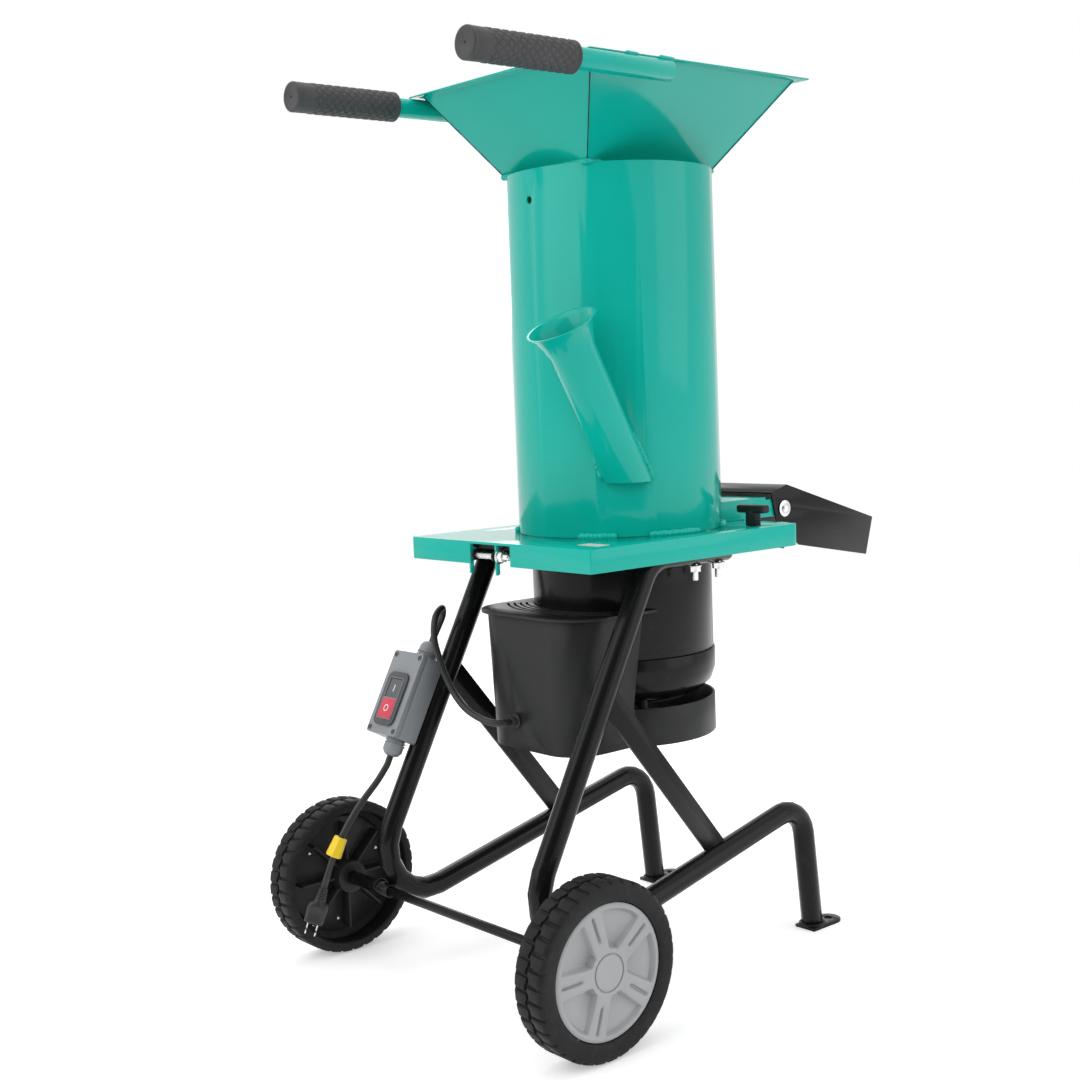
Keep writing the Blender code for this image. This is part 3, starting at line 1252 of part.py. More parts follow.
def switch():
    middle = (SWITCH_OFFSET_X, 0)
    face = centred(SWITCH_WIDTH, SWITCH_HEIGHT, middle)
    outline = rounded_rectangle(*face, (SWITCH_CORNER,) * 4, 3)
    back = TUBE_RADIUS + GAP
    front = back + SWITCH_BOX_DEPTH
    body = prism("switch_box", outline, back, front)
    room = centred(SWITCH_WIDTH - 2 * SWITCH_WALL, SWITCH_HEIGHT - 2 * SWITCH_WALL, middle)
    hollow = box("switch_room", (*room[0], back + SWITCH_WALL), (*room[1], front + 0.005))
    in_switch_axes(hollow)
    cut(body, hollow)
    finish(body, BOX_GREY, SWITCH, own_axes=True)

    panel = (SWITCH_OFFSET_X, -BEZEL_DROP)
    window_size = (BUTTON_SIZE[0] + 2 * GAP, 2 * BUTTON_SIZE[1] + BUTTON_SPACE + 2 * GAP)
    low, high = centred(*window_size, panel)
    window = [low, (high[0], low[1]), high, (low[0], high[1])]
    cover = prism("switch_cover", outline, front + GAP, SWITCH_FRONT, holes=(window,))
    finish(cover, BOX_GREY, SWITCH, own_axes=True)

    bezel_face = rounded_rectangle(*centred(*BEZEL_SIZE, panel), (BEZEL_CORNER,) * 4, 5)
    low_z = SWITCH_FRONT + GAP
    bezel = prism("switch_bezel", bezel_face, low_z, low_z + BEZEL_THICKNESS, holes=(window,))
    finish(bezel, DARK_GREY, SWITCH, own_axes=True)

    button_front = low_z + BEZEL_THICKNESS
    for name, way, rise, look in (("start_button", 1, 0, BUTTON_GREY), ("stop_button", -1, 0.0015, BUTTON_RED)):
        centre = (panel[0], panel[1] + way * (BUTTON_SIZE[1] + BUTTON_SPACE) / 2)
        carrier = holder(name + "_axis", (*centre, button_front), carried_by=None)
        carrier.parent = SWITCH
        low, high = centred(*BUTTON_SIZE, (0, 0))
        button = box(name, (*low, -BUTTON_DEPTH), (*high, rise), 0.001, 1)
        finish(button, look, carrier, own_axes=True)

    gland_x, gland_z = GLAND_OFFSET
    for name, way in (("upper_gland", 1), ("lower_gland", -1)):
        base = SWITCH_HEIGHT / 2 + GAP
        end = SWITCH_HEIGHT / 2 + GLAND_LENGTH
        profile = [
            (0, base),
            (GLAND_RADIUS - 0.001, base),
            (GLAND_RADIUS - 0.001, base + 0.005),
            (GLAND_RADIUS, base + 0.006),
            (GLAND_RADIUS, end - 0.007),
            (GLAND_RADIUS - 0.003, end - 0.002),
            (CABLE_RADIUS + 0.0025, end),
            (0, end),
        ]
        gland = turned(name, profile, 16, (gland_x, 0, gland_z), (0, way, 0))
        finish(gland, BOX_GREY, SWITCH, own_axes=True)


def in_switch_axes(obj):
    obj.parent = SWITCH


# ---------------------------------------------------------------- cables
def gland_end(way):
    """Where a cable meets the end of a gland, and a point a little further along the gland's axis."""
    x, z = GLAND_OFFSET
    reach = SWITCH_HEIGHT / 2 + GLAND_LENGTH + GAP
    place = Matrix.Translation(SWITCH_ORIGIN) @ SWITCH_TURN
    return [place @ Vector((x, way * (reach + step), z)) for step in (0, 0.006)]


def cables():
    nose = BOX_FRONT_Y - 0.010 - GAP
    grommet_end = [Vector((GROMMET_X, nose - 0.004, GROMMET_Z)), Vector((GROMMET_X, nose, GROMMET_Z))]
    route = smooth_path(gland_end(1) + list(LEAD_ROUTE) + grommet_end, 0.009)
    finish(rod("motor_lead", route, CABLE_RADIUS), CABLE, MACHINE)
    route = smooth_path(gland_end(-1) + list(CORD_ROUTE) + [CORD_END], 0.012)
    finish(rod("power_cord", route, CABLE_RADIUS), CABLE, MACHINE)

    above, below = Vector(CORD_ROUTE[-3]), Vector(CORD_ROUTE[-2])
    hang = (below - above).normalized()
    bore, half = CABLE_RADIUS + 0.0008, TAG_LENGTH / 2
    tag = [(bore, half), (TAG_RADIUS, half), (TAG_RADIUS + 0.002, -half), (bore, -half)]
    finish(turned("cord_tag", tag, 12, TAG_CENTRE, -hang), YELLOW, MACHINE)

    down = (Vector(CORD_END) - Vector(CORD_ROUTE[-1])).normalized()
    top = Vector(CORD_END) + down * GAP
    profile = [
        (0, 0),
        (0.0062, 0),
        (0.0068, 0.012),
        (0.0125, 0.021),
        (0.0142, 0.033),
        (0.0125, PLUG_LENGTH - 0.003),
        (0.0120, PLUG_LENGTH),
        (0, PLUG_LENGTH),
    ]
    plug = turned("plug", profile, 20, top, down)
    spin = Matrix.Rotation(PLUG_TURN, 4, "Z")
    plug.matrix_basis = plug.matrix_basis @ spin @ Matrix.Diagonal((1, PLUG_FLATTEN, 1, 1))
    finish(plug, CABLE, MACHINE)

    width, thickness, length = PIN_SIZE
    tip = top + down * (PLUG_LENGTH + GAP)
    turn = along(down) @ spin.to_3x3()
    reach = PIN_SPACING / 2 + thickness / 2
    bar = box("plug_blades", (-reach, -width / 2, 0), (reach, width / 2, 0.001))
    bar.matrix_basis = Matrix.Translation(tip) @ turn.to_4x4() @ bar.matrix_basis
    for way in (-1, 1):
        x = way * PIN_SPACING / 2
        pin = box("pin", (x - thickness / 2, -width / 2, 0.0005), (x + thickness / 2, width / 2, length))
        pin.matrix_basis = Matrix.Translation(tip) @ turn.to_4x4() @ pin.matrix_basis
        join(bar, pin)
    finish(bar, ZINC, MACHINE)


# ---------------------------------------------------------------- the machine
def build():
    for side, way, carrier in (("left", -1, LEFT_WHEEL), ("right", 1, RIGHT_WHEEL)):
        side_tube(side + "_side_tube", way * SIDE_X)
        brace(side + "_brace", way * SIDE_X)
        foot_plate(side + "_foot_plate", way * SIDE_X)
        wheel(side, way, carrier)
        handle(side, way)
        deflector_bolt(side + "_deflector_bolt", way)
    axle_parts()
    bottom_plate()
    spots = [(x, y) for x in (-SIDE_X, SIDE_X) for y in BOLT_YS]
    for i, (x, y) in enumerate(spots):
        plate_bolt(f"plate_bolt_{i + 1}", x, y)
    hinge_bolt()
    motor()
    motor_cover()
    cover_lid()
    grommet_and_capacitor()
    rotor()
    hood_pan()
    drum()
    hopper()
    branch_tube()
    discharge_housing()
    deflector()
    clamp_knob()
    switch()
    cables()


build()
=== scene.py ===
"""The looks of the electric wood chipper: finishes, fine detail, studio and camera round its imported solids.

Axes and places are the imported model's: +Z up, +X to the operator's right, +Y from the handles towards
the discharge, in metres. New pieces are modelled where the solids are, and ride on the same bodies.
"""

import math

import bmesh
import bpy
from mathutils import Matrix, Vector, noise
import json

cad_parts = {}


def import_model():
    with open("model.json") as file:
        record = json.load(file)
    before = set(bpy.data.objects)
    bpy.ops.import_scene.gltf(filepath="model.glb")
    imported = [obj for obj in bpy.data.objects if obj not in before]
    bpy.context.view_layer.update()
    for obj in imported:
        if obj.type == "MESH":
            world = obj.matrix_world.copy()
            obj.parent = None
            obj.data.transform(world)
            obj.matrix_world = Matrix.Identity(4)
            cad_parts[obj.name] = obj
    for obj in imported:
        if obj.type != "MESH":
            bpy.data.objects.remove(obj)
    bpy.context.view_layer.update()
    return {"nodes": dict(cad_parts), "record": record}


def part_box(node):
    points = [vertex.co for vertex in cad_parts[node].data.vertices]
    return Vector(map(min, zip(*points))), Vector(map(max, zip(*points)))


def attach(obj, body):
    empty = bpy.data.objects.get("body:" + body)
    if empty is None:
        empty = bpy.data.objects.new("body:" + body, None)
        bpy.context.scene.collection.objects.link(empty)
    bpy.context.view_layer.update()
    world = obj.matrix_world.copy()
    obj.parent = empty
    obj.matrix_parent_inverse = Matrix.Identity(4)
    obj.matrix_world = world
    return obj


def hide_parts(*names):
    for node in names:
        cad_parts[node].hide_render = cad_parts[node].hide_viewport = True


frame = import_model()
NODES = frame["nodes"]

UP = Vector((0, 0, 1))


# ---------------------------------------------------------------- the solids' places
def middle(node):
    low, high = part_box(node)
    return (low + high) / 2


DRUM_LOW, DRUM_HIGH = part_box("drum")
DRUM_RADIUS = (DRUM_HIGH.x - DRUM_LOW.x) / 2
AXIS_Y = middle("drum").y  # the cutter's axis stands at x = 0 and this y
PAN_TOP = DRUM_LOW.z


def machine(x, y, z):
    """A point given from the cutter's axis, which is how the solids' sizes are stated."""
    return Vector((x, y + AXIS_Y, z))


# ---------------------------------------------------------------- camera, floor and lights
CAMERA_PLACE = (1.488, -1.4153, 0.729)
CAMERA_YAW = math.radians(49.69)
CAMERA_PITCH = math.radians(-5.49)
CAMERA_ROLL = math.radians(-2.29)
CAMERA_LENS = 52.6
FLOOR_SIZE = 60.0
FLOOR_COLOUR = (0.93, 0.93, 0.935, 1)
FLOOR_FADE = (1.2, 4.5)  # the floor goes from shadowed to plain white between these distances
FLOOR_LIFT = 0.32  # added to the floor's lit colour where it is seen, so that it reads white round the shadow
AMBIENT = 0.85
CARD_DISTANCE = 2.7
CARD_SPAN = (-42, 22)  # degrees round the object from the camera's own direction
CARD_STEPS = 24
CARD_HEIGHT = (0.05, 2.6)
SOFTBOXES = (  # name, place, size and power
    ("key", (-0.6, -3.2, 2.3), (3.2, 3.2), 42),
    ("fill", (3.6, 1.6, 1.4), (2.8, 3.2), 30),
    ("overhead", (-0.4, 0.4, 4.2), (2.6, 2.6), 30),
    ("rim", (-2.8, 1.6, 2.0), (1.2, 2.4), 16),
)
LIGHT_TARGET = (0, 0, 0.6)


def linked(name, data):
    obj = bpy.data.objects.new(name, data)
    bpy.context.scene.collection.objects.link(obj)
    return obj


def camera():
    data = bpy.data.cameras.new("camera")
    data.lens = CAMERA_LENS
    data.sensor_width = 36
    data.clip_end = 200
    obj = linked("camera", data)
    aim = Matrix.Rotation(CAMERA_YAW, 4, "Z") @ Matrix.Rotation(math.pi / 2 + CAMERA_PITCH, 4, "X")
    obj.matrix_world = Matrix.Translation(CAMERA_PLACE) @ aim @ Matrix.Rotation(CAMERA_ROLL, 4, "Z")
    bpy.context.scene.camera = obj


def seen_directly(tree):
    """1 for rays that show the background itself: from the camera, in a gloss or through glass."""
    path = tree.nodes.new("ShaderNodeLightPath")
    total = path.outputs["Is Camera Ray"]
    for name in ("Is Glossy Ray", "Is Transmission Ray"):
        add = tree.nodes.new("ShaderNodeMath")
        add.operation = "MAXIMUM"
        tree.links.new(total, add.inputs[0])
        tree.links.new(path.outputs[name], add.inputs[1])
        total = add.outputs[0]
    return total


def world():
    made = bpy.data.worlds.new("studio")
    made.use_nodes = True
    bpy.context.scene.world = made
    tree = made.node_tree
    background = tree.nodes["Background"]
    background.inputs["Color"].default_value = (1, 1, 1, 1)
    strength = tree.nodes.new("ShaderNodeMapRange")
    strength.inputs["To Min"].default_value = AMBIENT
    strength.inputs["To Max"].default_value = 1.0
    tree.links.new(seen_directly(tree), strength.inputs["Value"])
    tree.links.new(strength.outputs["Result"], background.inputs["Strength"])


def floor():
    """A pale floor that keeps the shadow near the object and is plain white further off."""
    look = Finish("floor")
    look.tree.nodes.remove(look.shader)
    seen = seen_directly(look.tree)
    near = look.node("ShaderNodeBsdfDiffuse")
    look.put(near.inputs["Color"], FLOOR_COLOUR)
    lift = look.node("ShaderNodeEmission")
    look.put(lift.inputs["Strength"], look.math("MULTIPLY", seen, FLOOR_LIFT))
    lit = look.node("ShaderNodeAddShader")
    look.put(lit.inputs[0], near.outputs[0])
    look.put(lit.inputs[1], lift.outputs[0])
    far = look.node("ShaderNodeEmission")
    look.put(far.inputs["Strength"], seen)
    distance = look.node("ShaderNodeVectorMath", operation="LENGTH")
    look.put(distance.inputs[0], look.node("ShaderNodeNewGeometry").outputs["Position"])
    fade = look.node("ShaderNodeMapRange", interpolation_type="SMOOTHSTEP")
    look.put(fade.inputs["Value"], distance.outputs["Value"])
    fade.inputs["From Min"].default_value, fade.inputs["From Max"].default_value = FLOOR_FADE
    mix = look.node("ShaderNodeMixShader")
    look.put(mix.inputs[0], fade.outputs["Result"])
    look.put(mix.inputs[1], lit.outputs[0])
    look.put(mix.inputs[2], far.outputs[0])
    look.put(look.tree.nodes["Material Output"].inputs["Surface"], mix.outputs[0])

    half = FLOOR_SIZE / 2
    corners = [(x * half, y * half, 0) for x, y in ((-1, -1), (1, -1), (1, 1), (-1, 1))]
    mesh = bpy.data.meshes.new("floor")
    mesh.from_pydata(corners, [], [(0, 1, 2, 3)])
    mesh.materials.append(look.material)
    linked("floor", mesh)


def dark_card():
    """A black flag that only gloss sees: the drum's middle mirrors it, and shows its own deep colour there."""
    place = Vector((*CAMERA_PLACE[:2], 0)).normalized() * CARD_DISTANCE
    aside = UP.cross(place).normalized()
    mesh = bpy.data.meshes.new("dark_card")
    verts = []
    for i in range(CARD_STEPS + 1):
        turn = math.radians(CARD_SPAN[0] + (CARD_SPAN[1] - CARD_SPAN[0]) * i / CARD_STEPS)
        out = place * math.cos(turn) + aside * CARD_DISTANCE * math.sin(turn)
        verts += [(*out.xy, CARD_HEIGHT[0]), (*out.xy, CARD_HEIGHT[1])]
    faces = [(2 * i, 2 * i + 2, 2 * i + 3, 2 * i + 1) for i in range(CARD_STEPS)]
    mesh.from_pydata(verts, [], faces)
    mesh.materials.append(Finish("dark_card").set(Base_Color=(0.01, 0.01, 0.01, 1)))
    obj = linked("dark_card", mesh)
    obj.visible_camera = obj.visible_diffuse = obj.visible_shadow = obj.visible_transmission = False


def softbox(name, place, size, power):
    data = bpy.data.lights.new(name, "AREA")
    data.shape = "RECTANGLE"
    data.size, data.size_y = size
    data.energy = power
    obj = linked(name, data)
    way = Vector(LIGHT_TARGET) - Vector(place)
    obj.matrix_world = Matrix.Translation(place) @ way.to_track_quat("-Z", "Y").to_matrix().to_4x4()


def studio():
    camera()
    world()
    floor()
    dark_card()
    for light in SOFTBOXES:
        softbox(*light)
    bpy.context.scene.view_settings.view_transform = "Standard"


# ---------------------------------------------------------------- finishes
class Finish:
    """A material in the making: its shader, and short ways to add texture nodes in object coordinates."""

    def __init__(self, name):
        self.material = bpy.data.materials.new(name)
        self.material.use_nodes = True
        self.tree = self.material.node_tree
        self.shader = self.tree.nodes["Principled BSDF"]
        self.coords = self.node("ShaderNodeTexCoord").outputs["Object"]

    def node(self, kind, **settings):
        made = self.tree.nodes.new(kind)
        for name, value in settings.items():
            setattr(made, name, value)
        return made

    def put(self, target, value):
        if isinstance(value, bpy.types.NodeSocket):
            self.tree.links.new(value, target)
        else:
            target.default_value = value

    def stretched(self, scale):
        made = self.node("ShaderNodeMapping")
        self.put(made.inputs["Vector"], self.coords)
        made.inputs["Scale"].default_value = scale
        return made.outputs["Vector"]

    def noise(self, scale, detail=2.0, roughness=0.5, coords=None):
        made = self.node("ShaderNodeTexNoise")
        self.put(made.inputs["Vector"], coords or self.coords)
        made.inputs["Scale"].default_value = scale
        made.inputs["Detail"].default_value = detail
        made.inputs["Roughness"].default_value = roughness
        return made.outputs["Fac"]

    def cells(self, scale, feature="F1", coords=None):
        made = self.node("ShaderNodeTexVoronoi", feature=feature)
        self.put(made.inputs["Vector"], coords or self.coords)
        made.inputs["Scale"].default_value = scale
        return made.outputs["Distance"]

    def ramp(self, value, low, high, to_low=0.0, to_high=1.0):
        made = self.node("ShaderNodeMapRange")
        self.put(made.inputs["Value"], value)
        for name, number in (("From Min", low), ("From Max", high), ("To Min", to_low), ("To Max", to_high)):
            made.inputs[name].default_value = number
        return made.outputs["Result"]

    def blend(self, share, first, second, how="MIX"):
        made = self.node("ShaderNodeMix", data_type="RGBA", blend_type=how)
        self.put(made.inputs[0], share)
        self.put(made.inputs[6], first)
        self.put(made.inputs[7], second)
        return made.outputs[2]

    def math(self, how, first, second):
        made = self.node("ShaderNodeMath", operation=how)
        self.put(made.inputs[0], first)
        self.put(made.inputs[1], second)
        return made.outputs[0]

    def bump(self, *layers):
        """Each layer is (height, strength, distance in metres); the first is the coarsest."""
        below = None
        for height, strength, distance in layers:
            made = self.node("ShaderNodeBump")
            made.inputs["Strength"].default_value = strength
            made.inputs["Distance"].default_value = distance
            self.put(made.inputs["Height"], height)
            if below is not None:
                self.put(made.inputs["Normal"], below)
            below = made.outputs["Normal"]
        self.put(self.shader.inputs["Normal"], below)

    def set(self, **values):
        for name, value in values.items():
            self.put(self.shader.inputs[name.replace("_", " ")], value)
        return self.material


def shade(colour, factor):
    return (*(c * factor for c in colour), 1)


def enamel(name, colour, roughness, peel=0.10, gloss_level=0.5, coat=(0.25, 0.12)):
    """Powder coat: an even colour with slight clouds, a fine orange peel, and dust in the odd patch."""
    look = Finish(name)
    clouds = look.ramp(look.noise(5, 3), 0.3, 0.7)
    base = look.blend(clouds, shade(colour, 0.95), shade(colour, 1.05))
    dust = look.ramp(look.noise(38, 4, 0.65), 0.62, 0.80, 0.0, 0.10)
    pale = tuple(c * 0.75 + 0.12 for c in colour)
    base = look.blend(dust, base, (*pale, 1))
    gloss = look.ramp(look.noise(14, 3), 0.3, 0.7, roughness * 0.88, roughness * 1.12)
    look.bump((look.noise(60, 1), 0.05, 0.0015), (look.noise(420, 2), peel, 0.0004))
    look.set(Coat_Weight=coat[0], Coat_Roughness=coat[1])
    return look.set(Base_Color=base, Roughness=gloss, Specular_IOR_Level=gloss_level)


def moulded(name, colour, roughness, grain=0.12, scale=1400, gloss_level=0.5):
    """Moulded plastic: a fine spark-eroded grain, faint flow clouds, and scuffs that catch the light."""
    look = Finish(name)
    clouds = look.ramp(look.noise(9, 3), 0.3, 0.7)
    base = look.blend(clouds, shade(colour, 0.92), shade(colour, 1.08))
    scuffs = look.ramp(look.noise(70, 5, 0.7, look.stretched((1, 1, 0.35))), 0.66, 0.80, 0.0, 0.18)
    base = look.blend(scuffs, base, shade(tuple(c * 0.8 + 0.08 for c in colour), 1))
    gloss = look.ramp(look.noise(25, 3), 0.3, 0.7, roughness * 0.9, roughness * 1.1)
    look.bump((look.cells(scale), grain, 0.0003), (look.noise(scale * 1.7, 2), grain * 0.7, 0.0002))
    return look.set(Base_Color=base, Roughness=gloss, Specular_IOR_Level=gloss_level)


def rubber(name, colour, roughness, dust=0.25, grain=0.15, gloss_level=0.5):
    """Moulded rubber: matt, a little blotchy, with pale bloom where it has been handled."""
    look = Finish(name)
    clouds = look.ramp(look.noise(20, 4, 0.6), 0.3, 0.7)
    base = look.blend(clouds, shade(colour, 0.88), shade(colour, 1.12))
    bloom = look.ramp(look.noise(55, 5, 0.7), 0.50, 0.80, 0.0, dust)
    base = look.blend(bloom, base, shade(tuple(c * 0.8 + 0.06 for c in colour), 1))
    gloss = look.ramp(look.noise(35, 3), 0.3, 0.7, roughness * 0.92, min(1.0, roughness * 1.08))
    look.bump((look.noise(240, 4, 0.6), grain, 0.0005), (look.noise(1800, 2), grain, 0.0002))
    return look.set(Base_Color=base, Roughness=gloss, Specular_IOR_Level=gloss_level)


def plated(name, colour, roughness, tint=(0.80, 0.78, 0.70), brushed=None):
    """Zinc plate or bare steel: metallic, with cloudy passivation and, where brushed, fine lines."""
    look = Finish(name)
    clouds = look.ramp(look.noise(90, 4, 0.6), 0.35, 0.65)
    base = look.blend(clouds, shade(colour, 1), (*(c * t / 0.8 for c, t in zip(colour, tint)), 1))
    gloss = look.ramp(look.noise(160, 3), 0.3, 0.7, roughness * 0.8, roughness * 1.25)
    lines = look.noise(900, 3, 0.6, look.stretched(brushed) if brushed else None)
    look.bump((lines, 0.10, 0.0002))
    return look.set(Base_Color=base, Metallic=1.0, Roughness=gloss)


def coated_winding(name, colour):
    look = Finish(name)
    layers = look.noise(700, 2, 0.5, look.stretched((0.05, 0.05, 1)))
    base = look.blend(look.ramp(layers, 0.35, 0.65), shade(colour, 0.75), shade(colour, 1.15))
    look.bump((layers, 0.3, 0.0004))
    return look.set(Base_Color=base, Metallic=0.6, Roughness=0.48)


GREEN = enamel("green_enamel", (0.003, 0.46, 0.375), 0.14, gloss_level=0.2, coat=(0.10, 0.06))
BLACK_PAINT = enamel("black_enamel", (0.006, 0.0064, 0.007), 0.26, gloss_level=0.14, coat=(0.10, 0.10))
BLACK_PLASTIC = moulded("black_plastic", (0.016, 0.0165, 0.0175), 0.42, gloss_level=0.26)
GREY_TRIM = moulded("grey_trim", (0.345, 0.35, 0.36), 0.40, 0.08)
BOX_GREY = moulded("box_grey", (0.225, 0.24, 0.255), 0.42, 0.08)
DARK_GREY = moulded("dark_grey_plastic", (0.055, 0.058, 0.062), 0.45, 0.08)
BUTTON_GREY = moulded("button_grey", (0.085, 0.090, 0.098), 0.35, 0.05)
BUTTON_RED = moulded("button_red", (0.60, 0.035, 0.075), 0.32, 0.05)
TYRE = rubber("tyre_rubber", (0.008, 0.0082, 0.0092), 0.62, gloss_level=0.26)
GRIP = rubber("grip_rubber", (0.052, 0.052, 0.055), 0.60, 0.20)
CABLE = rubber("cable_rubber", (0.014, 0.014, 0.015), 0.42, 0.12, 0.06)
YELLOW = moulded("yellow_tag", (0.85, 0.60, 0.008), 0.40, 0.06)
ZINC = plated("zinc_plate", (0.74, 0.76, 0.78), 0.27)
STEEL = plated("tool_steel", (0.50, 0.51, 0.53), 0.30, brushed=(1, 0.08, 1))
COPPER = coated_winding("winding_stack", (0.42, 0.25, 0.15))
ALUMINIUM = plated("capacitor_can", (0.68, 0.69, 0.71), 0.32, brushed=(0.08, 1, 0.08))
MARK_WHITE = moulded("mark_white", (0.80, 0.80, 0.80), 0.50, 0.03)
NEUTRAL = moulded("neutral_label", (0.62, 0.62, 0.60), 0.45, 0.03)
SLOT_LOOKS = {
    "green_enamel": GREEN,
    "black_enamel": BLACK_PAINT,
    "black_plastic": BLACK_PLASTIC,
    "grey_trim": GREY_TRIM,
    "box_grey": BOX_GREY,
    "dark_grey_plastic": DARK_GREY,
    "button_grey": BUTTON_GREY,
    "button_red": BUTTON_RED,
    "tyre_rubber": TYRE,
    "grip_rubber": GRIP,
    "cable_rubber": CABLE,
    "yellow_tag": YELLOW,
    "zinc_plate": ZINC,
    "tool_steel": STEEL,
    "winding_stack": COPPER,
    "capacitor_can": ALUMINIUM,
}


EASED_EDGE = 0.0004
EASED_EDGES = {"green_enamel": 0.0006, "black_enamel": 0.0006, "black_plastic": 0.0008, "box_grey": 0.0009}
SHARPEST_SMOOTH = 32  # degrees between faces, over which an edge is eased instead of shaded away
WELD_DISTANCE = 0.00002


def finish_solids():
    """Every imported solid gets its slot's finish, smooth shading over gentle bends, and eased edges."""
    for part in frame["record"]["subparts"]:
        obj = NODES[part["node"]]
        slot = part["material_slot"]
        obj.data.materials.clear()
        obj.data.materials.append(SLOT_LOOKS[slot])
        obj.data.polygons.foreach_set("material_index", [0] * len(obj.data.polygons))
        smooth(obj, EASED_EDGES.get(slot, EASED_EDGE))


def smooth(obj, width):
    weld = obj.modifiers.new("weld", "WELD")
    weld.merge_threshold = WELD_DISTANCE
    ease = obj.modifiers.new("ease", "BEVEL")
    ease.width = width
    ease.segments = 2
    ease.limit_method = "ANGLE"
    ease.angle_limit = math.radians(SHARPEST_SMOOTH)
    ease.harden_normals = True
    ease.use_clamp_overlap = True
    obj.data.shade_smooth()


# ---------------------------------------------------------------- building new pieces
def riding(obj, body, replaces):
    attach(obj, body)
    if replaces:
        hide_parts(*replaces)
    return obj


def piece(name, verts, faces, body, look, replaces=()):
    mesh = bpy.data.meshes.new(name)
    mesh.from_pydata([tuple(v) for v in verts], [], faces)
    mesh.materials.append(look)
    work = bmesh.new()
    work.from_mesh(mesh)
    bmesh.ops.remove_doubles(work, verts=work.verts, dist=1e-6)
    bmesh.ops.recalc_face_normals(work, faces=work.faces)
    work.to_mesh(mesh)
    work.free()
    mesh.shade_smooth()
    return riding(linked(name, mesh), body, replaces)


def sharpen(obj, angle=35):
    obj.data.set_sharp_from_angle(angle=math.radians(angle))
    return obj


def grid_faces(rows, columns, wrap=True):
    """Quads between rows of points, each row closed into a ring where wrap is set."""
    faces = []
    for r in range(rows - 1):
        for c in range(columns if wrap else columns - 1):
            d = (c + 1) % columns
            faces.append((r * columns + c, r * columns + d, (r + 1) * columns + d, (r + 1) * columns + c))
    return faces


def axes_along(direction):
    """Two directions square to this one."""
    direction = Vector(direction).normalized()
    aside = direction.cross(UP if abs(direction.z) < 0.9 else Vector((0, 1, 0))).normalized()
    return aside, direction.cross(aside).normalized()


def lathe(name, profile, steps, place, axis, body, look, replaces=()):
    """A turned piece: the profile is (radius, height along the axis), closed on the axis or on itself."""
    aside, other = axes_along(axis)
    axis = Vector(axis).normalized()
    verts = []
    for radius, height in profile:
        for i in range(steps):
            turn = math.tau * i / steps
            out = aside * math.cos(turn) + other * math.sin(turn)
            verts.append(Vector(place) + axis * height + out * radius)
    return piece(name, verts, grid_faces(len(profile), steps), body, look, replaces)


def evenly(points, spacing):
    """Points along a polyline at one spacing, both ends included."""
    points = [Vector(p) for p in points]
    lengths = [(b - a).length for a, b in zip(points, points[1:])]
    total = sum(lengths)
    count = max(2, round(total / spacing))
    found, run, leg = [], 0.0, 0
    for i in range(count + 1):
        want = total * i / count
        while leg < len(lengths) - 1 and run + lengths[leg] < want:
            run += lengths[leg]
            leg += 1
        share = (want - run) / lengths[leg] if lengths[leg] else 0
        found.append(points[leg].lerp(points[leg + 1], min(1.0, share)))
    return found


BEAD_SIDES = 10
BEAD_STEP = 0.14  # shares of the bead's width: between its rings, and between its scales
BEAD_SCALE = 0.62


def weld_bead(name, path, width, body, look, seed):
    """A ropy bead along a path: overlapping scales, uneven in width, with rounded ends."""
    sides = BEAD_SIDES
    step = width * BEAD_STEP
    pitch = width * BEAD_SCALE
    points = evenly(path, step)
    verts = []
    last = len(points) - 1
    for i, point in enumerate(points):
        ahead, behind = points[min(i + 1, last)], points[max(i - 1, 0)]
        aside, other = axes_along(ahead - behind)
        along = i * step
        scale = (along / pitch) % 1
        ripple = 0.84 + 0.22 * math.sin(math.pi * scale**0.6)
        wander = noise.noise(Vector((along * 90, seed * 7.3, 0)))
        lumps = noise.noise(Vector((along * 260, seed * 3.1, 5)))
        end = min(1.0, (min(i, last - i) + 0.15) * step / (width * 0.45))
        radius = width / 2 * (ripple + 0.20 * wander + 0.10 * lumps) * math.sqrt(end * (2 - end))
        centre = point + (aside * wander + other * lumps) * width * 0.10
        for k in range(sides):
            turn = math.tau * k / sides
            verts.append(centre + (aside * math.cos(turn) + other * math.sin(turn)) * radius)
    faces = grid_faces(len(points), sides)
    faces += [tuple(range(sides))[::-1], tuple(range(last * sides, (last + 1) * sides))]
    return piece(name, verts, faces, body, look)


def ring_arc(radius, start, end, z, steps=24):
    """Points on a level arc about the cutter's axis; angles are in degrees from +X."""
    found = []
    for i in range(steps + 1):
        turn = math.radians(start + (end - start) * i / steps)
        found.append(machine(radius * math.cos(turn), radius * math.sin(turn), z))
    return found


# ---------------------------------------------------------------- wheels
TREAD_PITCHES = 36
TREAD_GROOVE = 0.0036
TREAD_DEPTH = 0.0030
TREAD_SLANT = 0.0022
CENTRE_GROOVE = 0.0036
CENTRE_ZIGZAG = 0.0014
DISH_DEPTH = 0.026  # CAD: the wheel's inner face is a deep dish up to this far from its edge
BEAD_INSET = 0.0232
DISH_INSET = 0.0134
TREAD_CHAMFER = 0.0012
TREAD_INSET = 0.005  # from the tyre's side to the edge of its tread


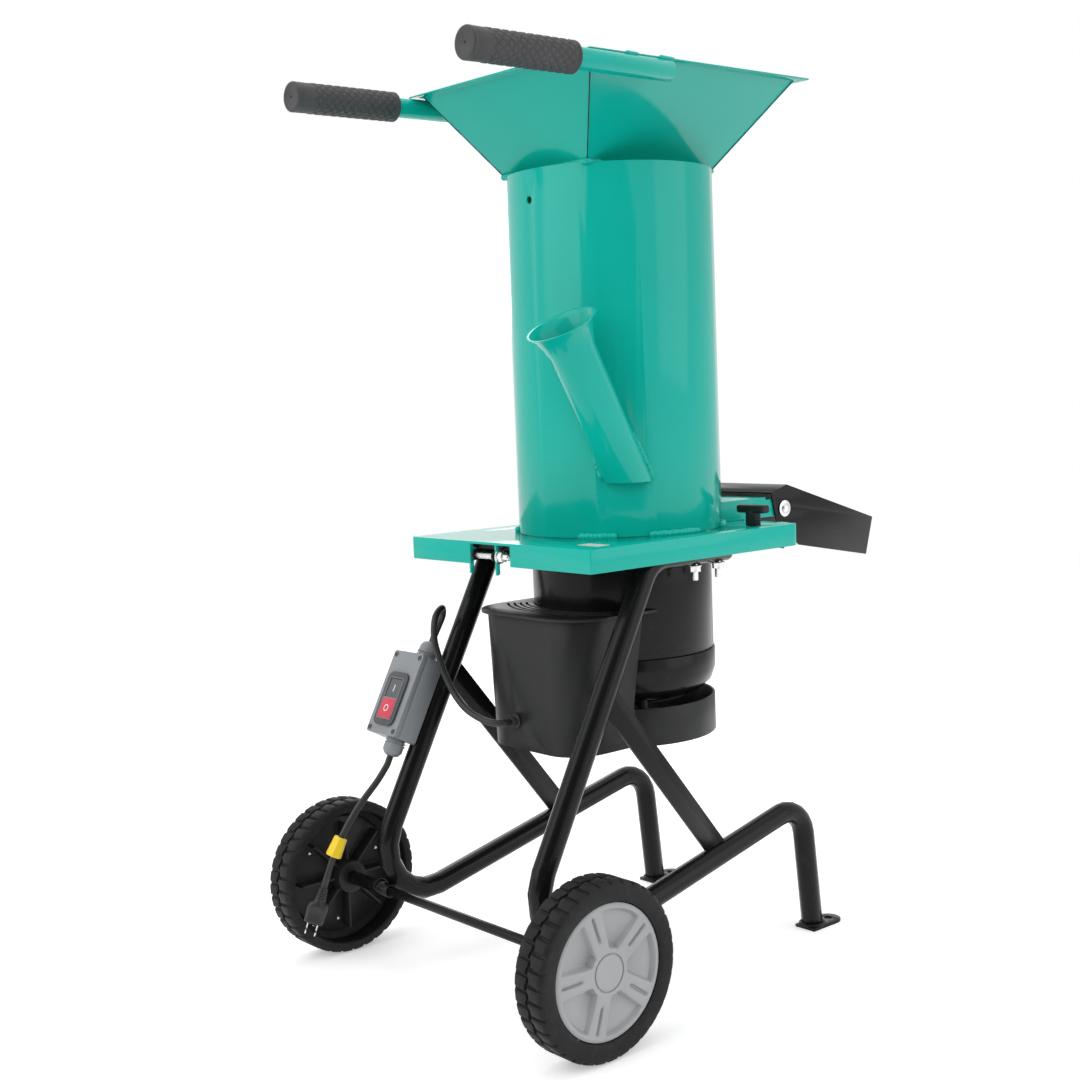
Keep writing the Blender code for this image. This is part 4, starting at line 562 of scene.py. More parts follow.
def tread_lines(radius):
    """Angles of the tread's lines, with the depth each gives in the inner row and in the outer row."""
    pitch = math.tau / TREAD_PITCHES
    half, chamfer = TREAD_GROOVE / 2 / radius, TREAD_CHAMFER / radius
    found = []
    for i in range(TREAD_PITCHES):
        for row, middle_angle in ((0, i * pitch), (1, (i + 0.5) * pitch)):
            side = ((half + chamfer, 0), (half + chamfer / 3, 0.25), (half * 0.8, 1))
            stops = [(-offset, deep) for offset, deep in side] + list(side[::-1])
            for offset, deep in stops:
                found.append((middle_angle + offset, deep if row == 0 else 0, deep if row == 1 else 0))
    return sorted(found)


def tyre(side):
    """A tyre with two rows of staggered blocks, a smooth outer wall and a deep dish towards the axle."""
    low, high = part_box(side + "_tyre")
    centre = (low + high) / 2
    way = 1 if centre.x > 0 else -1
    radius, half = (high.z - low.z) / 2, (high.x - low.x) / 2
    bead, dish = radius - BEAD_INSET, radius - DISH_INSET
    edge, mid = half - TREAD_INSET, CENTRE_GROOVE / 2
    # (radius, distance from the middle plane, share of the tread's depth) from the wall to the centre groove
    shoulder = [
        (radius - 0.0060, half - 0.0002, 0),
        (radius - 0.0042, edge + 0.0040, 0),
        (radius - 0.0030, edge + 0.0031, 0.25),
        (radius - 0.0018, edge + 0.0021, 0.8),
        (radius - 0.0006, edge + 0.0007, 1),
        (radius, edge - 0.0012, 1),
        (radius, mid + 0.0016, 1),
        (radius - 0.0005, mid + 0.0004, 1),
    ]
    outer = [
        (bead, half - 0.003, 0),
        (bead + 0.003, half - 0.0010, 0),
        (bead + 0.006, half - 0.0003, 0),
        (radius - 0.010, half, 0),
    ]
    inner = [
        (radius - 0.010, half, 0),
        (dish + 0.0015, half, 0),
        (dish, half - 0.0015, 0),
        (dish, half - DISH_DEPTH, 0),
        (bead, half - DISH_DEPTH - 0.004, 0),
    ]
    profile = [(r, x, deep, 1) for r, x, deep in outer + shoulder]
    profile += [(radius - TREAD_DEPTH, mid, 0, None), (radius - TREAD_DEPTH, -mid, 0, None)]
    profile += [(r, -x, deep, 0) for r, x, deep in shoulder[::-1] + inner]
    lines = tread_lines(radius)
    verts = []
    for r, x, share, row in profile:
        for angle, inner_deep, outer_deep in lines:
            deep = 0.0 if row is None else (inner_deep, outer_deep)[row]
            in_groove = abs(x) < 2 * mid and r > bead + 0.015
            zigzag = CENTRE_ZIGZAG * math.sin(angle * TREAD_PITCHES) if in_groove else 0.0
            turn = angle + TREAD_SLANT / radius * x / half
            reach = r - TREAD_DEPTH * share * deep
            spot = Vector((way * (x + zigzag), reach * math.cos(turn), reach * math.sin(turn)))
            verts.append(centre + spot)
    columns = len(lines)
    last = (len(profile) - 1) * columns
    faces = grid_faces(len(profile), columns)
    faces += [(last + c, last + (c + 1) % columns, (c + 1) % columns, c) for c in range(columns)]
    name, replaced = side + "_treaded_tyre", (side + "_tyre",)
    sharpen(piece(name, verts, faces, side + "_wheel", TYRE, replaced), 44)


SPOKE_PAIRS = 5
SPOKE_HALF = (0.0110, 0.0142)  # half the width of a spoke pair at the hub and at the rim
CAP_RADIUS = 0.0195
WINDOW_RADII = (0.0272, 0.0692)
TRIM_FLOORS = (-0.0036, 0.0006)  # the windows' heights at the hub and at the rim, from the trim's back
TRIM_SKIN = 0.0014
SLOT_DEPTH = 0.0035


def trim_columns(r):
    """Half a sector's columns: angle from the spoke's middle, and shares of the window's and slot's depths."""
    share = (r - WINDOW_RADII[0]) / (WINDOW_RADII[1] - WINDOW_RADII[0])
    wide = SPOKE_HALF[0] + (SPOKE_HALF[1] - SPOKE_HALF[0]) * min(1.0, max(0.0, share))
    limit = math.pi / SPOKE_PAIRS

    def angle(offset):
        return min(limit * 0.70, math.asin(min(0.6, offset / max(r, 0.012))))

    stops = [
        (0.0, 0, 1),
        (angle(0.0011), 0, 1),
        (angle(0.0019), 0, 0.25),
        (angle(0.0026), 0, 0),
        (angle(wide * 0.62), 0, 0),
        (angle(wide - 0.0014), 0, 0),
        (angle(wide - 0.0005), 0.10, 0),
        (angle(wide + 0.0009), 0.80, 0),
        (angle(wide + 0.0026), 0.97, 0),
    ]
    foot = stops[-1][0]
    stops += [(foot + (limit - foot) * t, 1, 0) for t in (0.25, 0.5, 0.75, 1.0)]
    return stops


def eased(value, low, high):
    t = min(1.0, max(0.0, (value - low) / (high - low)))
    return t * t * (3 - 2 * t)


def trim(side):
    """The grey wheel trim: five slotted twin spokes over hollow windows, a narrow rim and a domed cap."""
    low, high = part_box(side + "_wheel_trim")
    centre = (low + high) / 2
    way = 1 if centre.x > 0 else -1
    radius, depth = (high.z - low.z) / 2, high.x - low.x
    back = min(abs(low.x), abs(high.x))
    face = depth - 0.0010
    inside, outside = WINDOW_RADII
    radii = [0.0004, 0.006, 0.012, 0.016, 0.0184, CAP_RADIUS, 0.0199, 0.0213, 0.0219, 0.0240]
    radii += [inside + step for step in (-0.0008, 0, 0.0009, 0.0022)]
    radii += [0.0330, 0.0362, 0.0380, 0.0395, 0.0450, 0.0510, 0.0570, 0.0620, 0.0650]
    radii += [outside + step for step in (-0.0022, -0.0009, 0, 0.0008)]
    radii += [0.0715, radius - 0.0016, radius - 0.0005, radius]
    front, behind = [], []
    for r in radii:
        half = trim_columns(r)
        sector = math.tau / SPOKE_PAIRS
        columns = half + [(sector - a, w, t) for a, w, t in half[-2:0:-1]]
        floor_share = eased(r, 0.030, 0.066)
        base = TRIM_FLOORS[0] + (TRIM_FLOORS[1] - TRIM_FLOORS[0]) * floor_share
        window = eased(r, inside - 0.0008, inside + 0.0022)
        window *= 1 - eased(r, outside - 0.0022, outside + 0.0008)
        slot = eased(r, 0.0362, 0.0395) * (1 - eased(r, outside - 0.0030, outside))
        top = face
        if r <= CAP_RADIUS:
            top = depth - 0.0011 * (r / CAP_RADIUS) ** 4
        elif r < 0.0216:
            top = face - 0.0016
        top -= 0.0016 * eased(r, radius - 0.0022, radius)
        for i in range(SPOKE_PAIRS):
            for angle, hollow, cut in columns:
                height = top - (face - base) * window * hollow - SLOT_DEPTH * slot * cut
                turn = angle + sector * i
                y, z = centre.y - r * math.cos(turn), centre.z + r * math.sin(turn)
                front.append(Vector((way * (back + height), y, z)))
                behind.append(Vector((way * (back + min(0.0, height - TRIM_SKIN)), y, z)))
    rows = len(radii)
    count = len(front) // rows
    verts = front + [behind[r * count + i] for r in reversed(range(rows)) for i in range(count)]
    faces = grid_faces(2 * rows, count)
    faces.append(tuple(range(count)))
    faces.append(tuple(range((2 * rows - 1) * count, 2 * rows * count)))
    name, replaced = side + "_spoked_trim", (side + "_wheel_trim",)
    sharpen(piece(name, verts, faces, side + "_wheel", GREY_TRIM, replaced), 50)


RIVET_CIRCLE = 0.0600


def wheel_studs(side):
    """Three bright rivets in the dish, where the trim's tabs come through the web."""
    centre = middle(side + "_wheel_body")
    way = 1 if centre.x > 0 else -1
    web = min(abs(corner.x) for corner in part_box(side + "_tyre")) + DISH_DEPTH + 0.001
    head = [(0.0001, 0.0021), (0.0014, 0.0019), (0.0026, 0.0012), (0.0031, 0.0002), (0.0031, -0.0004)]
    for i in range(3):
        turn = math.tau * (i / 3 + 0.06)
        out = RIVET_CIRCLE * Vector((0, math.cos(turn), math.sin(turn)))
        place = Vector((way * web, centre.y, centre.z)) + out
        lathe(f"{side}_rivet_{i + 1}", head, 20, place, (-way, 0, 0), side + "_wheel", ZINC)


# ---------------------------------------------------------------- handle grips
GRIP_DIAMONDS = (10, 11)  # along and round
GRIP_RELIEF = 0.0015
GRIP_PLAIN = (0.009, 0.026)  # plain bands at the collar by the tube and at the closed end
GRIP_STEPS = 8  # points to a diamond, each way
TUBE_CLEARANCE = 0.0003


def grip(side):
    """A moulded grip with raised diamonds between a plain collar and a domed, dimpled end."""
    low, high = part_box(side + "_grip")
    centre = (low + high) / 2
    radius = (high.x - low.x) / 2
    start, end = high.y, low.y
    length = start - end
    along, around = GRIP_DIAMONDS
    textured = (GRIP_PLAIN[0], length - GRIP_PLAIN[1])
    steps = around * GRIP_STEPS
    # Each row is its place along the grip, its radius and 1 where it has diamonds
    collar = [
        (0.0, radius - 0.0030),
        (0.0004, radius - 0.0012),
        (0.0014, radius - 0.0001),
        (0.0036, radius - 0.0001),
        (0.0046, radius - 0.0010),
        (0.0054, radius - GRIP_RELIEF),
    ]
    span = textured[1] - textured[0]
    count = along * GRIP_STEPS
    closed_end = [
        (textured[1] + 0.002, radius - 0.0006),
        (length - 0.0080, radius - 0.0004),
        (length - 0.0070, radius - 0.0010),
        (length - 0.0060, radius - 0.0010),
        (length - 0.0052, radius - 0.0003),
        (length - 0.0022, radius - 0.0003),
        (length - 0.0009, radius - 0.0010),
        (length - 0.0002, radius - 0.0024),
        (length - 0.0001, radius - 0.0040),
        (length - 0.0006, radius - 0.0046),
        (length - 0.0006, 0.0022),
        (length - 0.0010, 0.0016),
        (length - 0.0020, 0.0013),
        (length - 0.0020, 0.0001),
    ]
    rows = [(y, r, 0) for y, r in collar]
    rows += [(textured[0] + span * i / count, radius - GRIP_RELIEF, 1) for i in range(count + 1)]
    rows += [(y, r, 0) for y, r in closed_end]
    verts = []
    for y, r, raised in rows:
        for i in range(steps):
            turn = math.tau * i / steps
            lift = 0.0
            if raised:
                u = (y - textured[0]) / span * along * math.pi
                v = turn * around
                wave = abs(math.cos(u)) * abs(math.cos(v / 2)) - abs(math.sin(u)) * abs(math.sin(v / 2))
                lumps = 0.14 * noise.noise(Vector((u * 0.9, v * 1.3, 4.0)))
                lift = GRIP_RELIEF * min(1.0, max(0.0, (abs(wave) + lumps - 0.20) * 3.4))
            out = (r + lift) * Vector((math.cos(turn), 0, math.sin(turn)))
            verts.append(Vector((centre.x, start - y, centre.z)) + out)
    faces = grid_faces(len(rows), steps)
    last = (len(rows) - 1) * steps
    faces.append(tuple(range(last, last + steps)))
    # The sleeve's open end meets the handle tube
    bore = len(verts)
    tube_low, tube_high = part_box(side + "_handle_tube")
    inner = (tube_high.x - tube_low.x) / 2 + TUBE_CLEARANCE
    mouth = Vector((centre.x, start - 0.0005, centre.z))
    for i in range(steps):
        turn = math.tau * i / steps
        verts.append(mouth + inner * Vector((math.cos(turn), 0, math.sin(turn))))
    faces += [(i, (i + 1) % steps, bore + (i + 1) % steps, bore + i) for i in range(steps)]
    name, replaced = side + "_diamond_grip", (side + "_grip",)
    sharpen(piece(name, verts, faces, "hood", GRIP, replaced), 60)


# ---------------------------------------------------------------- weld beads
BRANCH_RADIUS = 0.028
BRANCH_LEAN = math.radians(27.7)
BRANCH_MOUTH = (0.100, -0.177, 0.802)  # the middle of the side tube's mouth, from the cutter's axis
SEAM_STEPS = 60
SEAM_LIFT = 0.0014
BASE_WELD_SPANS = ((-66, -45), (-28, 4), (30, 52), (128, 150), (165, 186), (205, 228))
BASE_WELD_LIFT = 0.0018
HOPPER_FOOT = (0.0775, 0.1062)  # half sizes of the hopper's lower end


def branch_seam(way):
    """Where the side tube's wall meets the drum: way 1 is the upper edge of the seam, -1 the lower."""
    mouth = Vector(BRANCH_MOUTH)
    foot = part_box("branch_tube")[0].z
    found = []
    for i in range(SEAM_STEPS + 1):
        turn = math.pi * i / SEAM_STEPS
        x = mouth.x - BRANCH_RADIUS * math.cos(turn)
        if x >= DRUM_RADIUS - 0.0004:
            continue
        rise = way * BRANCH_RADIUS * math.sin(turn)
        y = -math.sqrt(DRUM_RADIUS**2 - x * x)
        down = (y - mouth.y - math.cos(BRANCH_LEAN) * rise) / math.sin(BRANCH_LEAN)
        z = mouth.z + math.sin(BRANCH_LEAN) * rise - math.cos(BRANCH_LEAN) * down
        if z > foot + 0.002:
            found.append(machine(x, y, z) + Vector((x, y, 0)).normalized() * SEAM_LIFT)
    return found


def hood_bead(name, path, width, seed):
    weld_bead(name, path, width, "hood", GREEN, seed)


def hood_welds():
    """Beads round the drum's foot, at the hopper's lower corners and along the side tube's seam."""
    for i, (start, end) in enumerate(BASE_WELD_SPANS):
        path = ring_arc(DRUM_RADIUS + BASE_WELD_LIFT, start, end, PAN_TOP + BASE_WELD_LIFT)
        hood_bead(f"base_weld_{i + 1}", path, 0.0088, 1 + i)
    z = DRUM_HIGH.z + 0.0010
    x, y = (half + 0.0012 for half in HOPPER_FOOT)
    corner_x = HOPPER_FOOT[0] + 0.001
    rim = (
        ((-0.030, -y), (corner_x, -y), (x, 0.022 - HOPPER_FOOT[1])),
        ((x, HOPPER_FOOT[1] - 0.040), (corner_x, y), (HOPPER_FOOT[0] - 0.030, y)),
        ((0.034 - HOPPER_FOOT[0], y), (-corner_x, y), (-x, HOPPER_FOOT[1] - 0.030)),
        ((-x, 0.036 - HOPPER_FOOT[1]), (-corner_x, -y), (0.020 - HOPPER_FOOT[0], -y)),
    )
    for i, path in enumerate(rim):
        hood_bead(f"rim_weld_{i + 1}", [machine(*spot, z) for spot in path], 0.0074, 20 + i)
    for name, way in (("branch_weld_upper", 1), ("branch_weld_lower", -1)):
        hood_bead(name, branch_seam(way), 0.0084, 30 + way)


# ---------------------------------------------------------------- cords
CORD_DIAMETER = 0.0086


def tube_curve(name, points, body, look, replaces=()):
    curve = bpy.data.curves.new(name, "CURVE")
    curve.dimensions = "3D"
    curve.bevel_depth = CORD_DIAMETER / 2
    curve.bevel_resolution = 6
    curve.use_fill_caps = True
    line = curve.splines.new("POLY")
    line.points.add(len(points) - 1)
    for spot, point in zip(line.points, points):
        spot.co = (*point, 1)
    line.use_smooth = True
    curve.materials.append(look)
    return riding(linked(name, curve), body, replaces)


def smooth_path(points, spacing):
    """The CAD's own curve through the points, sampled more closely."""
    points = [Vector(p) for p in points]
    ends = [2 * points[0] - points[1]] + points + [2 * points[-1] - points[-2]]
    path = []
    for a, b, c, d in zip(ends, ends[1:], ends[2:], ends[3:]):
        count = max(1, round((c - b).length / spacing))
        for i in range(count):
            t = i / count
            bend, twist = 2 * a - 5 * b + 4 * c - d, 3 * b - a - 3 * c + d
            path.append(0.5 * (2 * b + (c - a) * t + bend * t**2 + twist * t**3))
    path.append(points[-1])
    return path


# The leg's direction, the way the switch box faces, and where the cables leave its two glands
LEG_UP = Vector((0, 0.4747, 0.8802)).normalized()
PANEL_OUT = Vector((0, -0.8802, 0.4747)).normalized()
UPPER_GLAND_END = (-0.165, -0.19030, 0.40374)
LOWER_GLAND_END = (-0.165, -0.26464, 0.26590)
LEAD_ROUTE = (
    (-0.164, -0.182, 0.419),
    (-0.158, -0.176, 0.438),
    (-0.148, -0.184, 0.450),
    (-0.139, -0.202, 0.440),
    (-0.131, -0.211, 0.415),
    (-0.122, -0.210, 0.387),
    (-0.110, -0.2085, 0.362),
    (-0.094, -0.2070, 0.342),
    (-0.073, -0.2075, 0.329),
    (-0.050, -0.205, 0.3205),
    (-0.032, -0.202, 0.3175),
    (-0.0215, -0.195, 0.3165),
    (-0.019, -0.1863, 0.3165),
    (-0.019, -0.1823, 0.3165),
)
CORD_ROUTE = (
    (-0.1655, -0.271, 0.254),
    (-0.168, -0.285, 0.236),
    (-0.171, -0.304, 0.2165),
    (-0.174, -0.3205, 0.1965),
    (-0.178, -0.335, 0.174),
    (-0.182, -0.3475, 0.148),
    (-0.185, -0.355, 0.128),
    (-0.1875, -0.361, 0.110),
)
GLAND_RUN = 0.006  # how far each cable goes straight out of its gland
CABLE_SPACING = 0.003


def ring_piece(name, loops, body, look, replaces=()):
    """A skin through closed loops with the same number of points, with both ends filled."""
    count = len(loops[0])
    verts = [v for loop in loops for v in loop]
    last = (len(loops) - 1) * count
    faces = grid_faces(len(loops), count)
    faces += [tuple(range(count))[::-1], tuple(range(last, last + count))]
    return piece(name, verts, faces, body, look, replaces)


def cords():
    gland = machine(*UPPER_GLAND_END)
    lead = [gland, gland + LEG_UP * GLAND_RUN] + [machine(*p) for p in LEAD_ROUTE]
    path = smooth_path(lead, CABLE_SPACING)
    obj = tube_curve("motor_lead_cable", path, "frame", CABLE, ("motor_lead",))

    gland = machine(*LOWER_GLAND_END)
    supply = [gland, gland - LEG_UP * GLAND_RUN] + [machine(*p) for p in CORD_ROUTE]
    path = smooth_path(supply, CABLE_SPACING)
    obj = tube_curve("supply_cord", path, "frame", CABLE, ("power_cord",))
    made = [plug(path), plug_blades(path), tag()]


PLUG_LENGTH = 0.046
PLUG_TURN = math.radians(48)  # the plug's broad side, turned about the cord from the machine's X
PLUG_BODY = (
    (0.0170, 0.0080, 0.0066),
    (0.0195, 0.0108, 0.0082),
    (0.0225, 0.0126, 0.0092),
    (0.0260, 0.0132, 0.0086),
    (0.0310, 0.0130, 0.0078),
    (0.0370, 0.0124, 0.0080),
    (0.0410, 0.0122, 0.0084),
    (0.0440, 0.0122, 0.0086),
    (0.0455, 0.0119, 0.0083),
    (0.0460, 0.0112, 0.0076),
)
RELIEF_RIBS = 5
RELIEF_PITCH = 0.0032
PIN_SPACING = 0.0127
PIN_WIDTH = 0.0063
PIN_LENGTH = 0.0165
PIN_HALF_THICKNESS = 0.00075
PIN_HOLE = (0.0013, PIN_LENGTH - 0.0042)  # its radius, and its middle from the plug's face
PIN_HEAD = 0.0040  # half the length of the blade's end that the hole is in
PIN_STEM = PIN_LENGTH - 0.0082
HOLE_STEPS = 12


def plug_axes(path):
    down = (path[-1] - path[-2]).normalized()
    wide = Vector((1, 0, 0))
    wide = (wide - down * wide.dot(down)).normalized()
    wide = (Matrix.Rotation(PLUG_TURN, 3, -down) @ wide).normalized()
    return path[-1], down, wide, down.cross(wide).normalized()


def plug(path):
    """A two-blade plug: a ribbed strain relief that runs into a broad wedge with finger hollows."""
    top, down, wide, thin = plug_axes(path)
    # Each row is its distance from the cord's end, half the plug's width and half its thickness
    rows = [(0.0, 0.0052, 0.0050)]
    for i in range(RELIEF_RIBS):
        z = 0.0004 + i * RELIEF_PITCH
        swell = 0.0004 * i
        for step, half in ((0, 0.0060), (0.0018, 0.0061), (0.0021, 0.0052), (0.0030, 0.0052)):
            rows.append((z + step, half + swell, half - 0.0002 + swell))
    rows += PLUG_BODY
    loops = []
    for z, a, b in rows:
        square = eased(z, 0.017, 0.026)
        loop = []
        for i in range(32):
            turn = math.tau * i / 32
            power = 1.0 - 0.45 * square
            x = math.copysign(abs(math.cos(turn)) ** power, math.cos(turn))
            y = math.copysign(abs(math.sin(turn)) ** power, math.sin(turn))
            loop.append(top + down * z + wide * x * a + thin * y * b)
        loops.append(loop)
    return sharpen(ring_piece("moulded_plug", loops, "frame", CABLE, ("plug",)), 45)


def plug_blades(path):
    """Two flat blades with rounded tips and a hole near each end."""
    top, down, wide, thin = plug_axes(path)
    radius, hole_z = PIN_HOLE
    half = PIN_WIDTH / 2
    hole, ring = [], []
    for i in range(HOLE_STEPS):
        turn = math.tau * i / HOLE_STEPS
        x, z = radius * math.cos(turn), radius * math.sin(turn)
        spread = max(abs(x) / half, abs(z) / PIN_HEAD)
        hole.append((x, hole_z + z))
        ring.append((x / spread, hole_z + z / spread))
    stem = [(-half, 0), (half, 0), (half, PIN_STEM), (-half, PIN_STEM)]
    skin = ring + hole + stem
    verts, faces = [], []
    for way in (-1, 1):
        centre = top + down * (PLUG_LENGTH - 0.001) + wide * way * PIN_SPACING / 2
        behind = len(verts)
        front = behind + len(skin)
        for face in (-1, 1):
            base = len(verts)
            offset = wide * face * PIN_HALF_THICKNESS
            verts += [centre + offset + thin * x + down * z for x, z in skin]
            for i in range(HOLE_STEPS):
                j = (i + 1) % HOLE_STEPS
                faces.append((base + i, base + j, base + HOLE_STEPS + j, base + HOLE_STEPS + i))
            faces.append(tuple(base + 2 * HOLE_STEPS + i for i in range(len(stem))))
        for start, count in ((0, HOLE_STEPS), (HOLE_STEPS, HOLE_STEPS), (2 * HOLE_STEPS, len(stem))):
            for i in range(count):
                j = (i + 1) % count
                faces.append((behind + start + i, behind + start + j, front + start + j, front + start + i))
    obj = piece("flat_blades", verts, faces, "frame", ZINC, ("plug_blades",))
    return sharpen(obj, 30)


TAG_HALF = 0.013
TAG_SIDES = 7


def tag():
    """The cord's yellow tag: a faceted sleeve, wider at its lower end."""
    above, below = machine(*CORD_ROUTE[-4]), machine(*CORD_ROUTE[-3])
    hang = (below - above).normalized()
    half, bore = TAG_HALF, CORD_DIAMETER / 2 + 0.0001
    profile = [
        (bore, 0.001 - half),
        (0.0070, -half),
        (0.0083, 0.0006 - half),
        (0.0088, 0.0016 - half),
        (0.0105, half - 0.0014),
        (0.0103, half - 0.0003),
        (0.0092, half),
        (bore, half - 0.001),
    ]
    place = middle("cord_tag")
    replaced = ("cord_tag",)
    obj = lathe("yellow_sleeve", profile, TAG_SIDES, place, hang, "frame", YELLOW, replaced)
    return sharpen(obj, 12)


# ---------------------------------------------------------------- switch box
COVER_HEIGHT = 0.112
COVER_DEPTH = 0.0074
SCREW_INSET = 0.0058
BEZEL_FACE = 0.0015  # from each piece's middle to its face
START_FACE = 0.006
STOP_FACE = 0.00675
GLAND_RINGS = ((-0.0065, 6), (-0.0028, 32))  # place from the gland's middle, and sides
GLAND_RING_RADIUS = 0.0136
CORNER_STEPS = 5


def panel(origin, x, y, z):
    return origin + Vector((x, 0, 0)) + LEG_UP * y + PANEL_OUT * z


def rounded(half_x, half_y, radius):
    """Points round a rectangle with rounded corners."""
    found = []
    for i, (x, y) in enumerate(((1, 1), (-1, 1), (-1, -1), (1, -1))):
        for k in range(CORNER_STEPS):
            turn = math.pi / 2 * (i + k / (CORNER_STEPS - 1))
            corner = (x * (half_x - radius), y * (half_y - radius))
            found.append((corner[0] + radius * math.cos(turn), corner[1] + radius * math.sin(turn)))
    return found


def frame_ring(name, origin, outer, inner, radius, low, high, look, slot, body="frame"):
    """A rectangular frame with rounded corners on the switch's panel, given by its half sizes."""
    ease = 0.0003
    tight = radius * 0.6
    sections = (
        (outer, radius, low),
        (outer, radius, high - ease),
        ((outer[0] - ease, outer[1] - ease), radius, high),
        ((inner[0] + ease, inner[1] + ease), tight, high),
        (inner, tight, high - ease),
        (inner, tight, low),
    )
    loops = [[panel(origin, x, y, z) for x, y in rounded(*size, r)] for size, r, z in sections]
    count = len(loops[0])
    verts = [v for loop in loops for v in loop]
    faces = grid_faces(len(loops), count)
    last = (len(loops) - 1) * count
    faces += [(last + i, last + (i + 1) % count, (i + 1) % count, i) for i in range(count)]
    return sharpen(piece(name, verts, faces, body, look), 50)


def switch_details():
    """The cover's screws, a raised edge round each button, the buttons' marks and the glands' rings."""
    low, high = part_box("switch_cover")
    reach = ((high.x - low.x) / 2 - SCREW_INSET, COVER_HEIGHT / 2 - SCREW_INSET)
    front = middle("switch_cover") + PANEL_OUT * COVER_DEPTH / 2
    screw = [(0.0001, 0.0004), (0.0020, 0.0004), (0.0022, 0.0010)]
    screw += [(0.0032, 0.0010), (0.0036, 0.0002), (0.0036, -0.0003)]
    for i, (x, y) in enumerate(((-1, -1), (1, -1), (1, 1), (-1, 1))):
        place = panel(front, x * reach[0], y * reach[1], 0)
        lathe(f"cover_screw_{i + 1}", screw, 20, place, PANEL_OUT, "frame", DARK_GREY)
    bezel = middle("switch_bezel") + PANEL_OUT * BEZEL_FACE
    for name in ("start", "stop"):
        origin = bezel + LEG_UP * (middle(name + "_button") - bezel).dot(LEG_UP)
        sizes = (0.0150, 0.0144), (0.0140, 0.0134), 0.0012, -0.0002, 0.0012
        frame_ring(name + "_surround", origin, *sizes, BOX_GREY, "box_grey")
    face = middle("start_button") + PANEL_OUT * START_FACE
    sizes = (0.0010, 0.0046), (0.0002, 0.0038), 0.0003, -0.0001, 0.0003
    frame_ring("mark_i", face, *sizes, MARK_WHITE, "box_grey", "start_button")
    face = middle("stop_button") + PANEL_OUT * STOP_FACE
    ring = [(0.0034, -0.0001), (0.0034, 0.0003), (0.0046, 0.0003), (0.0046, -0.0001)]
    lathe("mark_o", ring, 32, face, PANEL_OUT, "stop_button", MARK_WHITE)
    radius = GLAND_RING_RADIUS
    band = [(radius - 0.002, -0.0012), (radius, -0.0009), (radius, 0.0009), (radius - 0.002, 0.0012)]
    for name, way in (("upper", 1), ("lower", -1)):
        for i, (at, sides) in enumerate(GLAND_RINGS):
            place = middle(name + "_gland") + LEG_UP * way * at
            lathe(f"{name}_gland_ring_{i + 1}", band, sides, place, LEG_UP, "frame", BOX_GREY)


# ---------------------------------------------------------------- painted shade lines at the hopper's corners, patch and black welds
FLANGE_WIDTH = 0.014
# The painted shade lines in the hopper's corner folds: where they meet the drum, and how finely they are drawn
SHADE_LINE_FOOT_X = 0.077
SHADE_LINE_POINTS = 13
SHADE_LINE_SIDES = 8


def round_about(place, aside, other, radius, degrees):
    """Points on an arc about this place, which starts along the first direction and turns to the second."""
    aside, other = Vector(aside), Vector(other)
    turns = [math.radians(a) for a in degrees]
    return [place + radius * (aside * math.cos(turn) + other * math.sin(turn)) for turn in turns]


def hopper_fold_shade_lines():
    """Painted shade: a thin black line down each of the folded hopper's corners, from the flange to the drum,
    standing in for the shade in the fold.
    """
    low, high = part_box("hopper")
    top = high.z - 0.002
    middle_y = (low.y + high.y) / 2
    reach = ((high.x - low.x) / 2 - FLANGE_WIDTH, (high.y - low.y) / 2 - FLANGE_WIDTH)
    foot = (SHADE_LINE_FOOT_X, math.sqrt(DRUM_RADIUS**2 - SHADE_LINE_FOOT_X**2))
    for i, (x, y) in enumerate(((1, -1), (1, 1), (-1, 1), (-1, -1))):
        start = Vector((x * reach[0], middle_y + y * reach[1], top))
        end = Vector((x * foot[0], AXIS_Y + y * foot[1], low.z))
        aside, other = axes_along(end - start)
        loops = []
        for t in range(SHADE_LINE_POINTS):
            centre = start.lerp(end, t / (SHADE_LINE_POINTS - 1))
            width = 0.0007 + 0.0003 * noise.noise(Vector((t * 1.7, i * 5.1, 0)))
            degrees = [360 * k / SHADE_LINE_SIDES for k in range(SHADE_LINE_SIDES)]
            loops.append(round_about(centre, aside, other, width, degrees))
        # painted shade: a black line along the green corner fold, in place of the fold's shade
        ring_piece(f"corner_shade_line_{i + 1}", loops, "hood", BLACK_PAINT)


PATCH_PLACE = (0.134, -0.170)  # from the cutter's axis
PATCH_HALF = (0.018, 0.010)
PATCH_CORNER = 0.0015
PATCH_THICKNESS = 0.0003


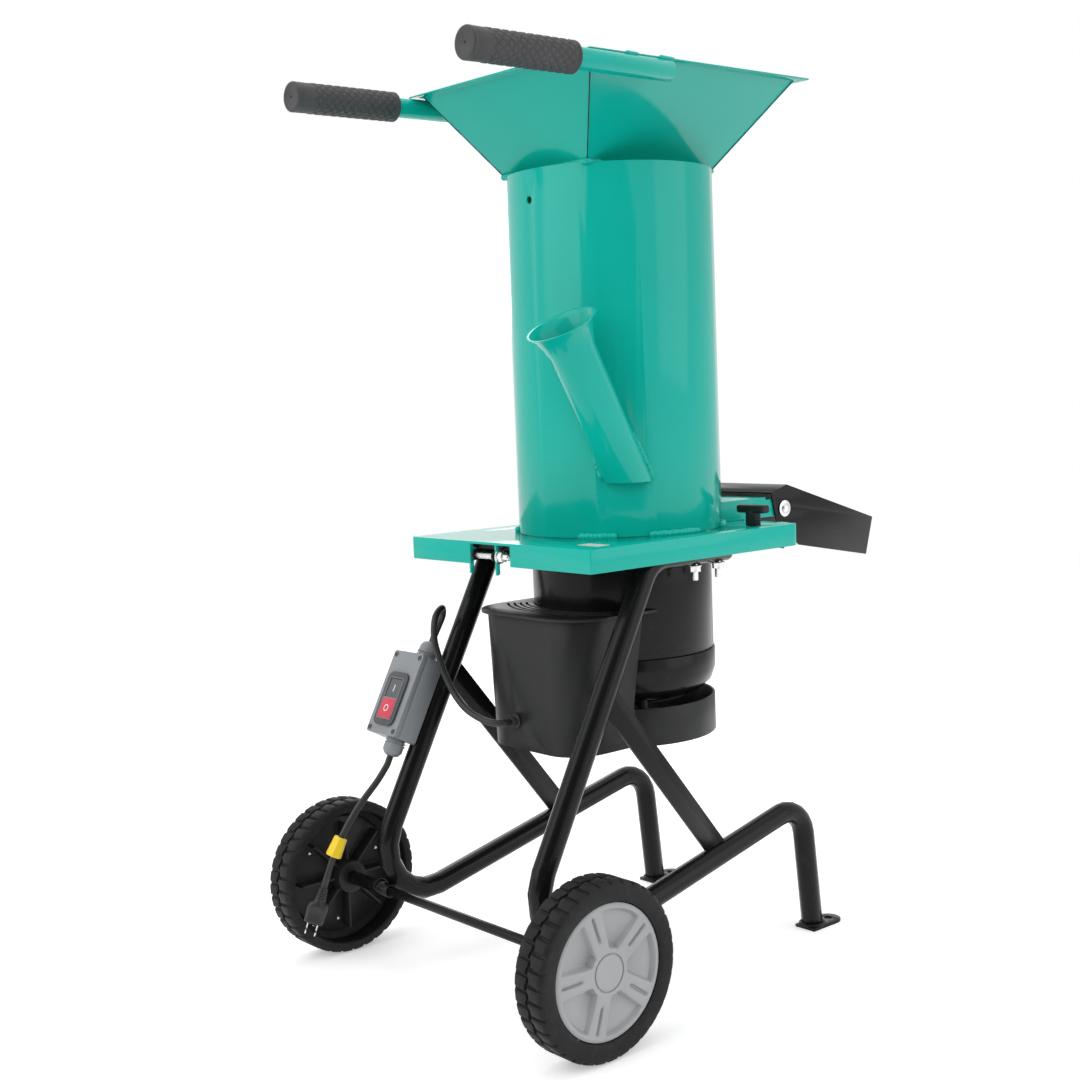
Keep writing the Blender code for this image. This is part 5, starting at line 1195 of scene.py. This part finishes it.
def neutral_patch():
    """A bare label on the pan's top, by its near corner."""
    place = machine(*PATCH_PLACE, PAN_TOP)
    sections = ((0.0, -0.0001), (0.0, PATCH_THICKNESS), (0.0003, PATCH_THICKNESS + 0.00005))
    loops = []
    for inset, z in sections:
        size = [half - inset for half in PATCH_HALF]
        loops.append([place + Vector((x, y, z)) for x, y in rounded(*size, PATCH_CORNER - inset)])
    sharpen(ring_piece("neutral_patch", loops, "hood", NEUTRAL), 50)


FOOT_TUBE_INSET = 0.016  # from the foot plate's rear edge to the middle of its tube
FOOT_WELD_RADIUS = 0.0150
SLEEVE_WELD_RADIUS = 0.0092
SLEEVE_WELD_X = 0.149 + 0.0135  # the side tube's middle plane, and how far out the weld stands
HANDLE_WELD_SPANS = ((-0.075, -0.050), (-0.128, -0.108))


def frame_welds():
    """Black beads round each side tube's end on its foot plate, and at each axle sleeve."""
    for side in ("left", "right"):
        low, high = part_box(side + "_foot_plate")
        place = Vector(((low.x + high.x) / 2, low.y + FOOT_TUBE_INSET, high.z + 0.0010))
        ring = round_about(place, (1, 0, 0), (0, 1, 0), FOOT_WELD_RADIUS, range(-170, 171, 10))
        weld_bead(side + "_foot_weld", ring, 0.0056, "frame", BLACK_PAINT, 41 + len(side))
        place = middle(side + "_axle_sleeve")
        place.x = math.copysign(SLEEVE_WELD_X, place.x)
        ring = round_about(place, (0, 1, 0), (0, 0, 1), SLEEVE_WELD_RADIUS, range(-60, 181, 12))
        weld_bead(side + "_sleeve_weld", ring, 0.0048, "frame", BLACK_PAINT, 51 + len(side))


def handle_welds():
    """Beads where each handle tube meets the hopper's flange and its sloping wall."""
    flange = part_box("hopper")[1].x + 0.0010
    for side, way in (("left", -1), ("right", 1)):
        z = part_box(side + "_handle_tube")[1].z + 0.0006
        for i, (start, end) in enumerate(HANDLE_WELD_SPANS):
            path = [Vector((way * flange, AXIS_Y + y, z)) for y in (start, (start + end) / 2, end)]
            hood_bead(f"{side}_handle_weld_{i + 1}", path, 0.0060, 60 + i + way)


studio()
cords()
finish_solids()
for wheel_side in ("left", "right"):
    tyre(wheel_side)
    trim(wheel_side)
    wheel_studs(wheel_side)
    grip(wheel_side)
switch_details()
hood_welds()
hopper_fold_shade_lines()
neutral_patch()
handle_welds()
frame_welds()
